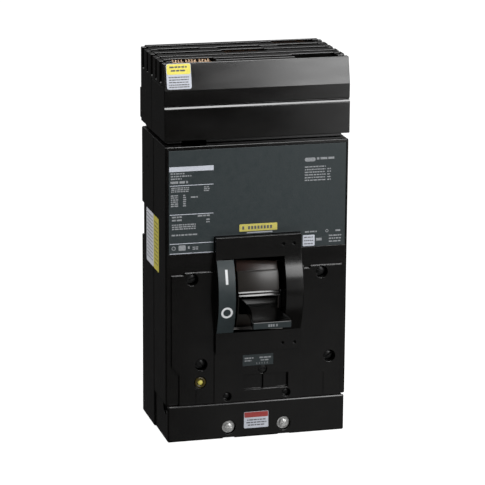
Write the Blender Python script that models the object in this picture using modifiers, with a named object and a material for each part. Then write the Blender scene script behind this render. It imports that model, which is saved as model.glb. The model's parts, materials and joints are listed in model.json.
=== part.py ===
"""Three-pole plug-on molded case circuit breaker, standing on its load end.

Lengths are in millimetres and angles in degrees; the helpers turn them into
metres and radians when they make a mesh. X runs across the three poles, -Y is
the front with the handle, and +Z points to the line end that plugs onto the
bus bars. Y = 0 is the back of the base, and the empty "breaker_frame" shifts
everything so that the middle of the bounding box's bottom is the origin.
"""

import math

import bmesh
import bpy
from mathutils import Matrix, Vector

MM = 0.001
GAP = 0.3                    # between neighbours that touch
CUT = 1.0                    # how far a cutter runs past a face

# Case
CASE_HALF_WIDTH = 75.6
CASE_TOP = 245.0
SEAM_Y = -44.0               # parting plane between base and cover
FRONT_Y = -86.4              # upper front face of the cover
RAISED_Y = -88.1             # lower, raised part of the cover's front
WALL = 4.0
BACK_WALL = 5.0
COVER_BOTTOM = 30.7
CASE_EDGE = 1.2
TRIP_PANEL_Y = -88.7         # low step around the trip adjuster
BACK_POCKET_DEPTH = 1.5
BACK_POCKET_SPANS = ((18.0, 92.0), (128.0, 222.0))   # heights of the pockets in the back

# Poles
POLE_PITCH = 50.0
POLES = {"left": -POLE_PITCH, "center": 0.0, "right": POLE_PITCH}
PARTITION_THICKNESS = 2.4

# Handle, escutcheon and their common axis
HANDLE_Y = -38.0
HANDLE_Z = 121.5
HANDLE_OFF_ANGLE = 9.0       # below straight forward
GUARD_OUTER = 54.5
GUARD_INNER = 50.5
GUARD_HALF_WIDTH = 17.1
TIP_RADIUS = 97.5
TIP_HALF_HEIGHT = 3.4
ESCUTCHEON_HALF_WIDTH = 35.5
ESCUTCHEON_Z = (73.5, 170.0)
ESCUTCHEON_Y = -92.0
CHEEK_RADIUS = 62.0
CHEEK_HALF_ANGLE = 29.8
SLOT_HALF_WIDTH = 20.8
SLOT_HALF_HEIGHT = 30.8

# Crossbar and contacts
CROSSBAR_Y = -17.0
CROSSBAR_Z = 139.0
CROSSBAR_RADIUS = 8.0
OPEN_ANGLE = 22.0

# Toggle mechanism in the centre pole
PLATE_X = (17.3, 19.1)
YOKE_X = (19.5, 21.5)
CRADLE_PIVOT = (-62.0, 106.0)
CRADLE_LINK_PIN = (-49.0, 100.0)
CROSSBAR_LINK_ARM = 14.0     # from the crossbar's axis to the lower link's pin
UPPER_LINK = 20.0
LOWER_LINK = 24.0
LINK_PIN_RADIUS = 2.0
PIN_CLEARANCE = 0.15

# Trip unit
TRIP_BAR_Y = -40.0
TRIP_BAR_Z = 80.0
BUTTON_X = -47.3
BUTTON_Z = 49.4
BUTTON_FRONT_Y = -88.7
KNOB_X = 4.9
KNOB_Z = 57.4
KNOB_FRONT_Y = -87.6
ARMATURE_Y = -27.4           # hinge of the armatures
ARMATURE_Z = 71.0
STRAP_Y = (-12.8, -9.8)      # heater straps, back to front thickness

# Line end
HEAD_HALF_WIDTH = 76.15
HEAD_BOTTOM = 249.7
HEAD_TOP = 312.0
SLOT_FLOOR = 294.0
SLOT_YS = (-72.0, -56.25, -40.5, -24.75, -9.0)
BUS_SLOT = 7.0
BARRIER_SLOT = 4.8
JAW_SLOTS = {"left": 0, "center": 2, "right": 4}
REAR_FOOT_Y = 13.0
JAW_FRONT_Y = -78.0          # front of the slotted block
HEAD_FRONT_Y = -86.6         # line end cover, below its ledge
HEAD_UPPER_Y = -85.6         # and above it
HEAD_LEDGE_Z = 275.2
HEAD_GROOVE_Y = -84.3        # bottom of the groove behind the ledge
HEAD_TAPER_Z = (290.0, 311.0)
HEAD_TAPER_Y = -80.6         # where the sloping front meets the top

# Load end
LOAD_HALF_WIDTH = 74.4
LOAD_FRONT_Y = -88.6
LUG_Y = -27.0
LUG_SCREW_Z = 18.5
LUG_SCREW_Y = -59.0
HEX_SOCKET_RADIUS = 3.7
PRY_NOTCH_Y = -79.5          # middle of the half-round finger notch
PRY_NOTCH_RADIUS = 8.0

# Front fasteners: (x, z)
COVER_SCREWS = {
    "upper_left": (-54.0, 136.1),
    "upper_right": (54.0, 136.1),
    "lower_left": (-46.4, 64.3),
    "lower_right": (61.4, 64.3),
}
LOAD_COVER_SCREWS = {"left": (-24.9, 35.9), "right": (24.9, 35.9)}
MOUNTING_SCREWS = {"left": (-23.2, 9.3), "right": (23.2, 9.3)}

# Screw sizes: front of the head, head radius, head height, shank radius, tip
COVER_SCREW_SIZE = (-85.0, 4.3, 3.4, 2.1, -35.0)
LOAD_COVER_SCREW_SIZE = (-87.3, 3.0, 2.4, 1.6, -35.5)
MOUNTING_SCREW_SIZE = (-89.0, 5.2, 4.2, 2.1, -34.0)

# The bounding box runs from the upper edge of the handle's tip to the rear foot.
HANDLE_TURN = math.radians(HANDLE_OFF_ANGLE)
TIP_Y = HANDLE_Y - TIP_RADIUS * math.cos(HANDLE_TURN) - TIP_HALF_HEIGHT * math.sin(HANDLE_TURN)
FRAME_SHIFT_Y = -(TIP_Y + REAR_FOOT_Y) / 2

MATERIALS = {
    "black_thermoset": ((0.035, 0.033, 0.030), 0.38, 0.0),
    "black_gloss": ((0.025, 0.022, 0.020), 0.22, 0.0),
    "slate_plate": ((0.10, 0.125, 0.13), 0.45, 0.0),
    "zinc_steel": ((0.75, 0.75, 0.73), 0.32, 1.0),
    "spring_steel": ((0.45, 0.45, 0.46), 0.35, 1.0),
    "copper": ((0.72, 0.38, 0.22), 0.35, 1.0),
    "aluminium": ((0.78, 0.78, 0.79), 0.40, 1.0),
    "arc_steel": ((0.50, 0.50, 0.50), 0.45, 1.0),
    "yellow_plastic": ((0.85, 0.68, 0.08), 0.35, 0.0),
    "red_thermoset": ((0.25, 0.06, 0.04), 0.45, 0.0),
}


def clear_scene():
    for obj in list(bpy.data.objects):
        bpy.data.objects.remove(obj, do_unlink=True)


def new_collection(name, hidden=False):
    collection = bpy.data.collections.new(name)
    bpy.context.scene.collection.children.link(collection)
    collection.hide_render = hidden
    return collection


def make_frame():
    """The empty that carries every piece."""
    frame = bpy.data.objects.new("breaker_frame", None)
    PARTS.objects.link(frame)
    frame.location = (0.0, FRAME_SHIFT_Y * MM, 0.0)
    return frame


def make_materials():
    made = {}
    for name, (color, roughness, metallic) in MATERIALS.items():
        material = bpy.data.materials.new(name)
        material.use_nodes = True
        shader = material.node_tree.nodes["Principled BSDF"]
        shader.inputs["Base Color"].default_value = (*color, 1.0)
        shader.inputs["Roughness"].default_value = roughness
        shader.inputs["Metallic"].default_value = metallic
        made[name] = material
    return made


# Shapes. Each helper returns a closed mesh object in the breaker's own frame.

def new_object(name, mesh):
    obj = bpy.data.objects.new(name, mesh)
    CUTTERS.objects.link(obj)
    obj.parent = FRAME
    obj.hide_render = True
    obj.display_type = "WIRE"
    return obj


def from_bmesh(name, bm):
    bmesh.ops.recalc_face_normals(bm, faces=bm.faces)
    mesh = bpy.data.meshes.new(name)
    bm.to_mesh(mesh)
    bm.free()
    return new_object(name, mesh)


def box(name, x, y, z):
    """A block between two x, two y and two z."""
    bm = bmesh.new()
    bmesh.ops.create_cube(bm, size=1.0)
    size = [(high - low) * MM for low, high in (x, y, z)]
    middle = [(high + low) / 2 * MM for low, high in (x, y, z)]
    bmesh.ops.scale(bm, vec=size, verts=bm.verts)
    bmesh.ops.translate(bm, vec=middle, verts=bm.verts)
    return from_bmesh(name, bm)


AXIS_TURNS = {
    "x": Matrix.Rotation(math.pi / 2, 4, "Y"),
    "y": Matrix.Rotation(-math.pi / 2, 4, "X"),
    "z": Matrix.Identity(4),
}


def rod(name, axis, center, length, radius, sides=12):
    """A cylinder along one axis, centred on a point."""
    bm = bmesh.new()
    bmesh.ops.create_cone(
        bm,
        cap_ends=True,
        segments=sides,
        radius1=radius * MM,
        radius2=radius * MM,
        depth=length * MM,
        matrix=Matrix.Translation(Vector(center) * MM) @ AXIS_TURNS[axis],
    )
    return from_bmesh(name, bm)


PLANE_TURNS = {
    "x": Matrix(((0, 0, 1), (1, 0, 0), (0, 1, 0))).to_4x4(),
    "y": Matrix(((1, 0, 0), (0, 0, -1), (0, 1, 0))).to_4x4(),
    "z": Matrix.Identity(4),
}


def plate(name, axis, outline, low, high, holes=()):
    """A flat outline made thick along one axis.

    The outline's points are (y, z) for axis x, (x, z) for y and (x, y) for z.
    """
    curve = bpy.data.curves.new(name, "CURVE")
    curve.dimensions = "2D"
    curve.fill_mode = "BOTH"
    curve.extrude = (high - low) / 2 * MM
    for points in (outline, *holes):
        spline = curve.splines.new("POLY")
        spline.points.add(len(points) - 1)
        for point, (u, v) in zip(spline.points, points):
            point.co = (u * MM, v * MM, 0.0, 1.0)
        spline.use_cyclic_u = True
    guide = bpy.data.objects.new(name + "_outline", curve)
    CUTTERS.objects.link(guide)
    middle = (low + high) / 2 * MM
    offset = {"x": (middle, 0, 0), "y": (0, middle, 0), "z": (0, 0, middle)}[axis]
    guide.matrix_world = Matrix.Translation(offset) @ PLANE_TURNS[axis]
    return mesh_from_curve(name, guide)


def mesh_from_curve(name, guide):
    """A welded mesh in place of a curve object, in the breaker's frame."""
    bpy.context.view_layer.update()
    graph = bpy.context.evaluated_depsgraph_get()
    mesh = bpy.data.meshes.new_from_object(guide.evaluated_get(graph))
    mesh.transform(guide.matrix_world)
    bpy.data.objects.remove(guide)
    bm = bmesh.new()
    bm.from_mesh(mesh)
    bpy.data.meshes.remove(mesh)
    bmesh.ops.remove_doubles(bm, verts=bm.verts, dist=1e-6)
    return from_bmesh(name, bm)


def turned(name, profile, center, sides=16):
    """A profile of (radius, distance) turned about Y, distance growing backwards from center."""
    bm = bmesh.new()
    points = [bm.verts.new((radius * MM, 0.0, -along * MM)) for radius, along in profile]
    for first, second in zip(points, points[1:]):
        bm.edges.new((first, second))
    mesh = bpy.data.meshes.new(name)
    bm.to_mesh(mesh)
    bm.free()
    obj = new_object(name, mesh)
    screw = obj.modifiers.new("turn", "SCREW")
    screw.axis = "Z"
    screw.steps = sides
    screw.render_steps = sides
    screw.use_merge_vertices = True
    screw.merge_threshold = 0.00001
    obj.rotation_euler.x = math.pi / 2
    obj.location = Vector(center) * MM
    return obj


def coil(name, start, end, radius, wire, turns, points_per_turn=8):
    """A wire helix between two points, on a POLY spline."""
    start = Vector(start)
    axis = Vector(end) - start
    side = Vector((1.0, 0.0, 0.0))
    other = axis.normalized().cross(side)
    curve = bpy.data.curves.new(name, "CURVE")
    curve.dimensions = "3D"
    curve.bevel_depth = wire / 2 * MM
    curve.bevel_resolution = 2
    curve.use_fill_caps = True
    spline = curve.splines.new("POLY")
    count = turns * points_per_turn + 1
    spline.points.add(count - 1)
    for index, point in enumerate(spline.points):
        angle = 2 * math.pi * index / points_per_turn
        ring = side * math.cos(angle) * radius + other * math.sin(angle) * radius
        place = start + axis * index / (count - 1) + ring
        point.co = (*(place * MM), 1.0)
    guide = bpy.data.objects.new(name + "_path", curve)
    CUTTERS.objects.link(guide)
    return mesh_from_curve(name, guide)


def arc(center, radius, first, last, steps):
    """Points on an arc, from one angle to another, counted from +u towards +v."""
    points = []
    for index in range(steps + 1):
        angle = math.radians(first + (last - first) * index / steps)
        points.append((center[0] + radius * math.cos(angle), center[1] + radius * math.sin(angle)))
    return points


def circle(center, radius, sides=20):
    return arc(center, radius, 0.0, 360.0 * (sides - 1) / sides, sides - 1)


def capsule(first, second, radius, steps=7):
    """The outline of a bar with round ends between two points."""
    heading = math.degrees(math.atan2(second[1] - first[1], second[0] - first[0]))
    near = arc(first, radius, heading + 90.0, heading + 270.0, steps)
    far = arc(second, radius, heading - 90.0, heading + 90.0, steps)
    return near + far


def ring_sector(inner, outer, low_angle, high_angle, steps):
    """An arc band about the handle's axis: angles count up from straight forward."""
    pivot = (HANDLE_Y, HANDLE_Z)
    outside = arc(pivot, outer, 180.0 - high_angle, 180.0 - low_angle, steps)
    inside = arc(pivot, inner, 180.0 - low_angle, 180.0 - high_angle, steps)
    return outside + inside


def combine(target, operation, tools):
    for tool in tools:
        modifier = target.modifiers.new(tool.name, "BOOLEAN")
        modifier.operation = operation
        modifier.solver = "EXACT"
        modifier.object = tool
    return target


def fuse(target, *tools):
    return combine(target, "UNION", tools)


def cut(target, *tools):
    return combine(target, "DIFFERENCE", tools)


def rounded(obj, width, segments=2, angle=40.0):
    """Rounds the edges. It comes before the cuts, or after them for the whole outline."""
    bevel = obj.modifiers.new("edges", "BEVEL")
    bevel.width = width * MM
    bevel.segments = segments
    bevel.limit_method = "ANGLE"
    bevel.angle_limit = math.radians(angle)
    bevel.use_clamp_overlap = True
    return obj


def carry_tools(obj, place):
    """Ties an object's cutters to it, so that they turn with it about its origin."""
    for modifier in obj.modifiers:
        if modifier.type != "BOOLEAN":
            continue
        tool = modifier.object
        carry_tools(tool, tool.location.copy())
        tool.parent = obj
        tool.location = tool.location - place


def finish(obj, name, material, origin=(0.0, 0.0, 0.0), turn=0.0, smooth=False):
    """Makes a shape a part: its own name and material, its origin on its axis or centre."""
    if turn:
        carry_tools(obj, Vector(origin) * MM)
    CUTTERS.objects.unlink(obj)
    PARTS.objects.link(obj)
    obj.hide_render = False
    obj.display_type = "TEXTURED"
    obj.name = name
    obj.data.name = name
    if not any(modifier.type == "SCREW" for modifier in obj.modifiers):
        obj.data.transform(Matrix.Translation(-Vector(origin) * MM))
        obj.location = Vector(origin) * MM
    obj.rotation_euler.x += math.radians(turn)
    obj.data.materials.clear()
    obj.data.materials.append(MADE[material])
    if smooth:
        obj.data.shade_smooth()
        obj.data.set_sharp_from_angle(angle=math.radians(35.0))
    return obj


def span(center, half):
    return (center - half, center + half)


# Case moldings

def partition_spans():
    for side in (-1, 1):
        yield side, span(side * POLE_PITCH / 2, PARTITION_THICKNESS / 2)


def make_base():
    """The deep rear tub: back wall, side walls, pole partitions and screw posts."""
    seam = SEAM_Y + GAP / 2
    outer_x = span(0, CASE_HALF_WIDTH)
    base = rounded(box("base", outer_x, (seam, 0), (0, CASE_TOP)), CASE_EDGE)
    inner_x = span(0, CASE_HALF_WIDTH - WALL)
    cavity = box("cavity", inner_x, (seam - CUT, -BACK_WALL), (WALL, CASE_TOP - WALL))
    cut(base, cavity)
    for side, x in partition_spans():
        wall = box("partition", x, (seam, -BACK_WALL + CUT), (WALL - CUT, CASE_TOP - WALL + CUT))
        bar_z = span(CROSSBAR_Z, CROSSBAR_RADIUS + 0.4)
        cut(wall, box("crossbar_way", span(x[0], 9), (-70, CROSSBAR_Y + CROSSBAR_RADIUS + 0.4), bar_z))
        cut(wall, box("trip_bar_way", span(x[0], 9), (-70, -33), (73, 93)))
        fuse(base, wall)
    for x, z in COVER_SCREWS.values():
        reach = (x - 7, CASE_HALF_WIDTH - 1) if x > 0 else (1 - CASE_HALF_WIDTH, x + 7)
        fuse(base, box("shelf", reach, (seam, -31.5), span(z, 5.2)))
    for side in (-1, 1):
        column_x = span(side * POLE_PITCH / 2, 5.2)
        fuse(base, box("column", column_x, (seam, -BACK_WALL + CUT), (WALL - CUT, 40)))
        block_x = sorted((side * 66.0, side * (CASE_HALF_WIDTH - 1)))
        fuse(base, box("corner_block", block_x, (-11, -BACK_WALL + CUT), (149, 187)))
    for side in (-1, 1):
        notch_x = sorted((side * 69.0, side * (CASE_HALF_WIDTH + CUT)))
        cut(base, box("side_notch", notch_x, (-7.0, CUT), (154.0, 181.6)))
    for pole_x in POLES.values():
        cut(base, box("cable_way", span(pole_x, 14), (seam - CUT, -11.5), (-CUT, WALL + CUT)))
        cut(base, box("strap_way", span(pole_x, 9.4), (-9.0, -BACK_WALL), (230, CASE_TOP + CUT)))
        for pocket_z in BACK_POCKET_SPANS:
            cut(base, box("back_pocket", span(pole_x, 16), (-BACK_POCKET_DEPTH, CUT), pocket_z))
    for screws in (COVER_SCREWS, LOAD_COVER_SCREWS, MOUNTING_SCREWS):
        for x, z in screws.values():
            cut(base, rod("tap", "y", (x, -40, z), 14, 2.4, 12))
    return finish(base, "base", "black_thermoset")


def make_cover():
    """The front molding: raised lower panel, screw bosses, handle window and pole ribs."""
    seam = SEAM_Y - GAP / 2
    outer_x = span(0, CASE_HALF_WIDTH)
    cover = rounded(box("cover", outer_x, (FRONT_Y, seam), (COVER_BOTTOM, CASE_TOP)), CASE_EDGE)
    panel_outline = [
        (-71.0, 139.8), (-71.0, 64.0), (-64.8, 56.5), (-64.8, COVER_BOTTOM), (71.0, COVER_BOTTOM),
        (71.0, 141.5), (45.0, 141.5), (43.5, 139.8), (39.0, 139.8), (39.0, 141.5),
        (-59.8, 141.5), (-61.3, 139.8),
    ]
    fuse(cover, plate("raised_panel", "y", panel_outline, RAISED_Y, FRONT_Y + CUT))
    step_outline = [
        (-35.9, 73.0), (-35.9, COVER_BOTTOM), (39.5, COVER_BOTTOM),
        (39.5, 63.0), (35.2, 69.0), (35.2, 73.0),
    ]
    fuse(cover, plate("trip_panel", "y", step_outline, TRIP_PANEL_Y, RAISED_Y + CUT))
    rib_y = (RAISED_Y - 0.35, RAISED_Y + CUT)
    for x, top in ((-50.7, 44.0), (56.6, 52.0)):
        fuse(cover, box("witness_rib", span(x, 0.25), rib_y, (COVER_BOTTOM + 0.5, top)))
    inner_z = (COVER_BOTTOM + WALL, CASE_TOP - WALL)
    inner_y = FRONT_Y + WALL
    cut(cover, box("cover_cavity", span(0, CASE_HALF_WIDTH - WALL), (inner_y, seam + CUT), inner_z))
    for side, x in partition_spans():
        rib = box("rib", x, (inner_y - CUT, seam), (inner_z[0] - CUT, inner_z[1] + CUT))
        cut(rib, box("rib_trip_way", span(x[0], 9), (-54, seam + CUT), (70, 96)))
        fuse(cover, rib)
    for x, z in COVER_SCREWS.values():
        boss_middle = (x, (inner_y - CUT + seam) / 2, z)
        fuse(cover, rod("boss", "y", boss_middle, seam - inner_y + CUT, 6.6, 16))
    fuse(cover, box("button_guide", (-53.5, -41.2), (-66, -63), (COVER_BOTTOM + 2, 55.5)))
    window_z = span(HANDLE_Z, SLOT_HALF_HEIGHT + 1.5)
    cut(cover, box("handle_window", span(0, SLOT_HALF_WIDTH + 1.3), (-95, -80), window_z))
    cut(cover, box("plate_recess", (-73.0, 73.7), (-95, FRONT_Y + 0.8), (157.3, 242.2)))
    cut(cover, box("adjuster_recess", (-10.5, 26.3), (-95, RAISED_Y + 2.6), (40.5, 53.0)))
    fuse(cover, box("adjuster_pad", (5.5, 17.3), (RAISED_Y + 0.4, RAISED_Y + 4), (40.4, 53.1)))
    for x, z in COVER_SCREWS.values():
        cut(cover, rod("head_well", "y", (x, -86, z), 12, 5.0, 20))
        cut(cover, rod("shank_way", "y", (x, -62, z), 44, 2.4, 12))
    for x, z in LOAD_COVER_SCREWS.values():
        cut(cover, rod("small_well", "y", (x, -87, z), 6, 3.6, 16))
        cut(cover, rod("small_way", "y", (x, -62, z), 44, 1.9, 12))
    cut(cover, rod("button_hole", "y", (BUTTON_X, -85, BUTTON_Z), 12, 4.9, 24))
    cut(cover, rod("stem_hole", "y", (BUTTON_X, -64.5, BUTTON_Z), 6, 2.9, 12))
    cut(cover, rod("knob_hole", "y", (KNOB_X, -85, KNOB_Z), 12, 3.6, 20))
    return finish(cover, "cover", "black_thermoset")


def make_load_end_cover():
    """The removable cover over the lugs."""
    seam = SEAM_Y - GAP / 2
    top = COVER_BOTTOM - GAP
    outer_x = span(0, LOAD_HALF_WIDTH)
    cover = rounded(box("load_end_cover", outer_x, (LOAD_FRONT_Y, seam), (0, top)), CASE_EDGE)
    inner_x = span(0, LOAD_HALF_WIDTH - 3)
    cut(cover, box("load_cavity", inner_x, (LOAD_FRONT_Y + 3.5, seam + CUT), (3.5, top + CUT)))
    post_front = LOAD_FRONT_Y + 3
    for x, z in MOUNTING_SCREWS.values():
        post_middle = (x, (post_front + seam) / 2, z)
        fuse(cover, rod("post", "y", post_middle, seam - post_front, 6.5, 16))
    for x, z in MOUNTING_SCREWS.values():
        cut(cover, rod("well", "y", (x, -87, z), 8, 5.9, 24))
        cut(cover, rod("way", "y", (x, -62, z), 44, 2.9, 12))
        cut(cover, box("foot_notch", span(x, 5.0), (LOAD_FRONT_Y - CUT, -80), (-CUT, 1.1)))
    for side in (-1, 1):
        notch_center = (side * (LOAD_HALF_WIDTH + 0.4), PRY_NOTCH_Y, top)
        cut(cover, rod("pry_notch", "x", notch_center, 4.0, PRY_NOTCH_RADIUS, 28))
    return finish(cover, "load_end_cover", "black_thermoset")


def slot_width(index):
    """Every second slot takes a bus bar, and the ones between take a barrier."""
    return BUS_SLOT if index % 2 == 0 else BARRIER_SLOT


def make_jaw_housing():
    """The slotted block at the line end that goes onto the bus bars."""
    front = JAW_FRONT_Y
    body_x = span(0, 72.9)
    comb = box("jaw_housing", body_x, (front, 0), (HEAD_BOTTOM, HEAD_TOP))
    fuse(comb, box("neck", span(0, 72.4), (front + 2, -1), (CASE_TOP + GAP, HEAD_BOTTOM + CUT)))
    fuse(comb, box("shoulders", span(0, HEAD_HALF_WIDTH), (-39.7, -0.5), (HEAD_BOTTOM, HEAD_TOP - 1)))
    fuse(comb, box("upper_sides", span(0, HEAD_HALF_WIDTH), (front + 1, -30), (292.3, HEAD_TOP - 1)))
    fuse(comb, box("rear_foot", span(0, 74.0), (-2, REAR_FOOT_Y), (HEAD_BOTTOM + 0.3, 275.0)))
    for index, y in enumerate(SLOT_YS):
        slot_y = span(y, slot_width(index) / 2)
        cut(comb, box("slot", span(0, 80), slot_y, (SLOT_FLOOR, HEAD_TOP + CUT)))
    for pole, index in JAW_SLOTS.items():
        x = POLES[pole]
        y = SLOT_YS[index]
        cut(comb, box("jaw_pocket", span(x, 17.5), span(y, 6.6), (256.0, HEAD_TOP + CUT)))
        cut(comb, box("strap_channel", span(x, 10), (y - 6.6, -4.7), (244, 263.0)))
    spare_x = span(POLES["right"], 17.5)
    cut(comb, box("spare_pocket", spare_x, span(SLOT_YS[0], 6.6), (298.0, HEAD_TOP + CUT)))
    for x in POLES.values():
        cut(comb, box("rear_relief", span(x, 17.5), span(SLOT_YS[3], 4.6), (303.0, HEAD_TOP + CUT)))
    return finish(comb, "jaw_housing", "black_thermoset")


def make_line_end_cover():
    """The front and side skirts of the line end, with its grooved ledge and sloping top."""
    rear = JAW_FRONT_Y - GAP
    slope_low, slope_high = HEAD_TAPER_Z
    ledge_top = HEAD_LEDGE_Z + HEAD_GROOVE_Y - HEAD_FRONT_Y
    outline = [
        (HEAD_FRONT_Y, HEAD_BOTTOM), (HEAD_FRONT_Y, HEAD_LEDGE_Z), (HEAD_GROOVE_Y, ledge_top),
        (HEAD_GROOVE_Y, ledge_top + 0.7), (HEAD_UPPER_Y, ledge_top + 0.7), (HEAD_UPPER_Y, slope_low),
        (HEAD_TAPER_Y, slope_high), (rear, slope_high), (rear, 292.0), (-40.0, 292.0), (-40.0, HEAD_BOTTOM),
    ]
    head = plate("line_end_cover", "x", outline, -HEAD_HALF_WIDTH, HEAD_HALF_WIDTH)
    cut(head, box("between_skirts", span(0, 73.3), (rear, -30.0), (HEAD_BOTTOM - CUT, 300.0)))
    return finish(head, "line_end_cover", "black_thermoset")


def make_escutcheon():
    """The raised frame around the handle, with its two curved cheeks."""
    low, high = ESCUTCHEON_Z
    back = FRONT_Y - GAP
    bulge = arc((HANDLE_Y, HANDLE_Z), CHEEK_RADIUS, 180.0 - CHEEK_HALF_ANGLE, 180.0 + CHEEK_HALF_ANGLE, 16)
    outline = [(back, high), (ESCUTCHEON_Y, high), *bulge, (ESCUTCHEON_Y, low), (back, low)]
    frame = rounded(plate("escutcheon", "x", outline, -ESCUTCHEON_HALF_WIDTH, ESCUTCHEON_HALF_WIDTH), 0.8, 1)
    slot_z = span(HANDLE_Z, SLOT_HALF_HEIGHT)
    cut(frame, box("handle_slot", span(0, SLOT_HALF_WIDTH), (-110, -80), slot_z))
    cut(frame, box("panel_seat", span(0, 60), (RAISED_Y - GAP, -80), (low - CUT, 142.0)))
    for x, z in ((20.5, 162.5), (29.3, 162.5), (20.5, 79.4), (30.5, 79.4)):
        cut(frame, rod("pin_hole", "y", (x, ESCUTCHEON_Y, z), 5, 1.3, 12))
    return finish(frame, "escutcheon", "black_thermoset")


def make_position_plate():
    """The curved strip on the left cheek that carries the two position marks."""
    band = ring_sector(CHEEK_RADIUS + 0.1, CHEEK_RADIUS + 0.6, -29.0, 29.0, 16)
    strip = plate("position_plate", "x", band, -ESCUTCHEON_HALF_WIDTH + 0.4, -SLOT_HALF_WIDTH - 0.3)
    return finish(strip, "position_plate", "slate_plate")


def make_nameplate():
    """The flat plate across the upper front, notched around the escutcheon."""
    notch_x = ESCUTCHEON_HALF_WIDTH + 0.4
    notch_top = ESCUTCHEON_Z[1] + 0.4
    outline = [
        (-72.8, 157.5), (-notch_x, 157.5), (-notch_x, notch_top), (notch_x, notch_top),
        (notch_x, 157.5), (73.5, 157.5), (73.5, 242.0), (-72.8, 242.0),
    ]
    sheet = plate("nameplate", "y", outline, FRONT_Y, FRONT_Y + 0.5)
    return finish(sheet, "nameplate", "slate_plate")


# Fasteners

def make_screw(name, x, z, size):
    """A slotted screw that goes in from the front."""
    head_y, head_radius, head_height, shank_radius, tip_y = size
    length = tip_y - head_y
    crown = head_height * 0.35
    profile = [
        (0.0, 0.0), (head_radius * 0.6, 0.15 * crown), (head_radius, crown),
        (head_radius, head_height), (shank_radius, head_height),
        (shank_radius, length - 1.0), (shank_radius * 0.6, length), (0.0, length),
    ]
    screw = turned(name, profile, (x, head_y, z))
    slot = box("slot_" + name, span(x, head_radius + CUT), (head_y - CUT, head_y + crown + 0.9), span(z, 0.6))
    cut(screw, slot)
    return finish(screw, name, "zinc_steel", (x, head_y, z), smooth=True)


def make_fasteners():
    for label, (x, z) in COVER_SCREWS.items():
        make_screw("cover_screw_" + label, x, z, COVER_SCREW_SIZE)
    for label, (x, z) in LOAD_COVER_SCREWS.items():
        make_screw("load_cover_screw_" + label, x, z, LOAD_COVER_SCREW_SIZE)
    for label, (x, z) in MOUNTING_SCREWS.items():
        make_screw("mounting_screw_" + label, x, z, MOUNTING_SCREW_SIZE)


# Handle

def make_handle():
    """Curved guard and grip. It is drawn pointing straight forward and turned down to OFF."""
    guard = plate("handle", "x", ring_sector(GUARD_INNER, GUARD_OUTER, -53.0, 30.0, 20),
                  -GUARD_HALF_WIDTH, GUARD_HALF_WIDTH)
    upper = plate("upper_guard", "x", ring_sector(GUARD_INNER, GUARD_OUTER - 1.8, 29.0, 47.0, 5),
                  -GUARD_HALF_WIDTH, GUARD_HALF_WIDTH)
    fuse(guard, upper)
    for angle in (8.8, 11.6):
        lip = ring_sector(GUARD_OUTER - 1, GUARD_OUTER + 1.8, angle - 0.7, angle + 0.7, 2)
        fuse(guard, plate("lip", "x", lip, -GUARD_HALF_WIDTH, GUARD_HALF_WIDTH))
    root = HANDLE_Y - GUARD_OUTER + 2.0
    tip = HANDLE_Y - TIP_RADIUS
    side_view = [
        (root, 8.6), (root - 5, 7.2), (root - 11, 5.2),
        (root - 20, 3.8), (tip + 5, 3.6), (tip, TIP_HALF_HEIGHT),
    ]
    upper_edge = [(y, HANDLE_Z + z) for y, z in side_view]
    lower_edge = [(y, HANDLE_Z - z) for y, z in reversed(side_view)]
    top_view = [
        (root, 17.1), (root - 4, 15.2), (root - 10, 12.6), (root - 17, 11.8),
        (root - 26, 12.8), (root - 35, 15.4), (tip + 1, 16.4), (tip, 16.0),
    ]
    top_view = [(x, y) for y, x in top_view] + [(-x, y) for y, x in reversed(top_view)]
    grip = plate("grip_side", "x", upper_edge + lower_edge, -30, 30)
    combine(grip, "INTERSECT", [plate("grip_top", "z", top_view, HANDLE_Z - 20, HANDLE_Z + 20)])
    fuse(guard, grip)
    seat = ring_sector(47.7, GUARD_INNER + 1, -9.0, 9.0, 4)
    fuse(guard, plate("yoke_seat", "x", seat, -12, 12))
    pivot = (0.0, HANDLE_Y, HANDLE_Z)
    return finish(guard, "handle", "black_gloss", pivot, HANDLE_OFF_ANGLE)


def make_handle_yoke():
    """The steel fork that carries the handle on the two mechanism plates."""
    pivot = (HANDLE_Y, HANDLE_Z)
    leg = [*arc(pivot, 5.5, -90.0, 90.0, 8), (HANDLE_Y - 46.5, HANDLE_Z + 8), (HANDLE_Y - 46.5, HANDLE_Z - 8)]
    web_x = span(0, (YOKE_X[0] + YOKE_X[1]) / 2)
    yoke = box("handle_yoke", web_x, (HANDLE_Y - 46.2, HANDLE_Y - 44.3), span(HANDLE_Z, 7.4))
    for side in (-1, 1):
        low, high = sorted((side * YOKE_X[0], side * YOKE_X[1]))
        fuse(yoke, plate("leg", "x", leg, low, high, holes=[circle(pivot, 2.6, 16)]))
    return finish(yoke, "handle_yoke", "spring_steel", (0.0, *pivot), HANDLE_OFF_ANGLE)


# Mechanism

def crossbar_link_pin(opening):
    """Where the lower link is pinned to the crossbar, at an angle open from closed."""
    turn = math.radians(opening)
    return (
        CROSSBAR_Y - CROSSBAR_LINK_ARM * math.cos(turn),
        CROSSBAR_Z - CROSSBAR_LINK_ARM * math.sin(turn),
    )


def knee_point(opening):
    """The toggle's knee, on the front side of the line between the two link pins."""
    lower = Vector(crossbar_link_pin(opening))
    upper = Vector(CRADLE_LINK_PIN)
    line = lower - upper
    along = (UPPER_LINK**2 - LOWER_LINK**2 + line.length_squared) / (2 * line.length)
    height = math.sqrt(UPPER_LINK**2 - along**2)
    unit = line.normalized()
    front = Vector((-unit.y, unit.x))
    return tuple(upper + unit * along + front * height)


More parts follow.
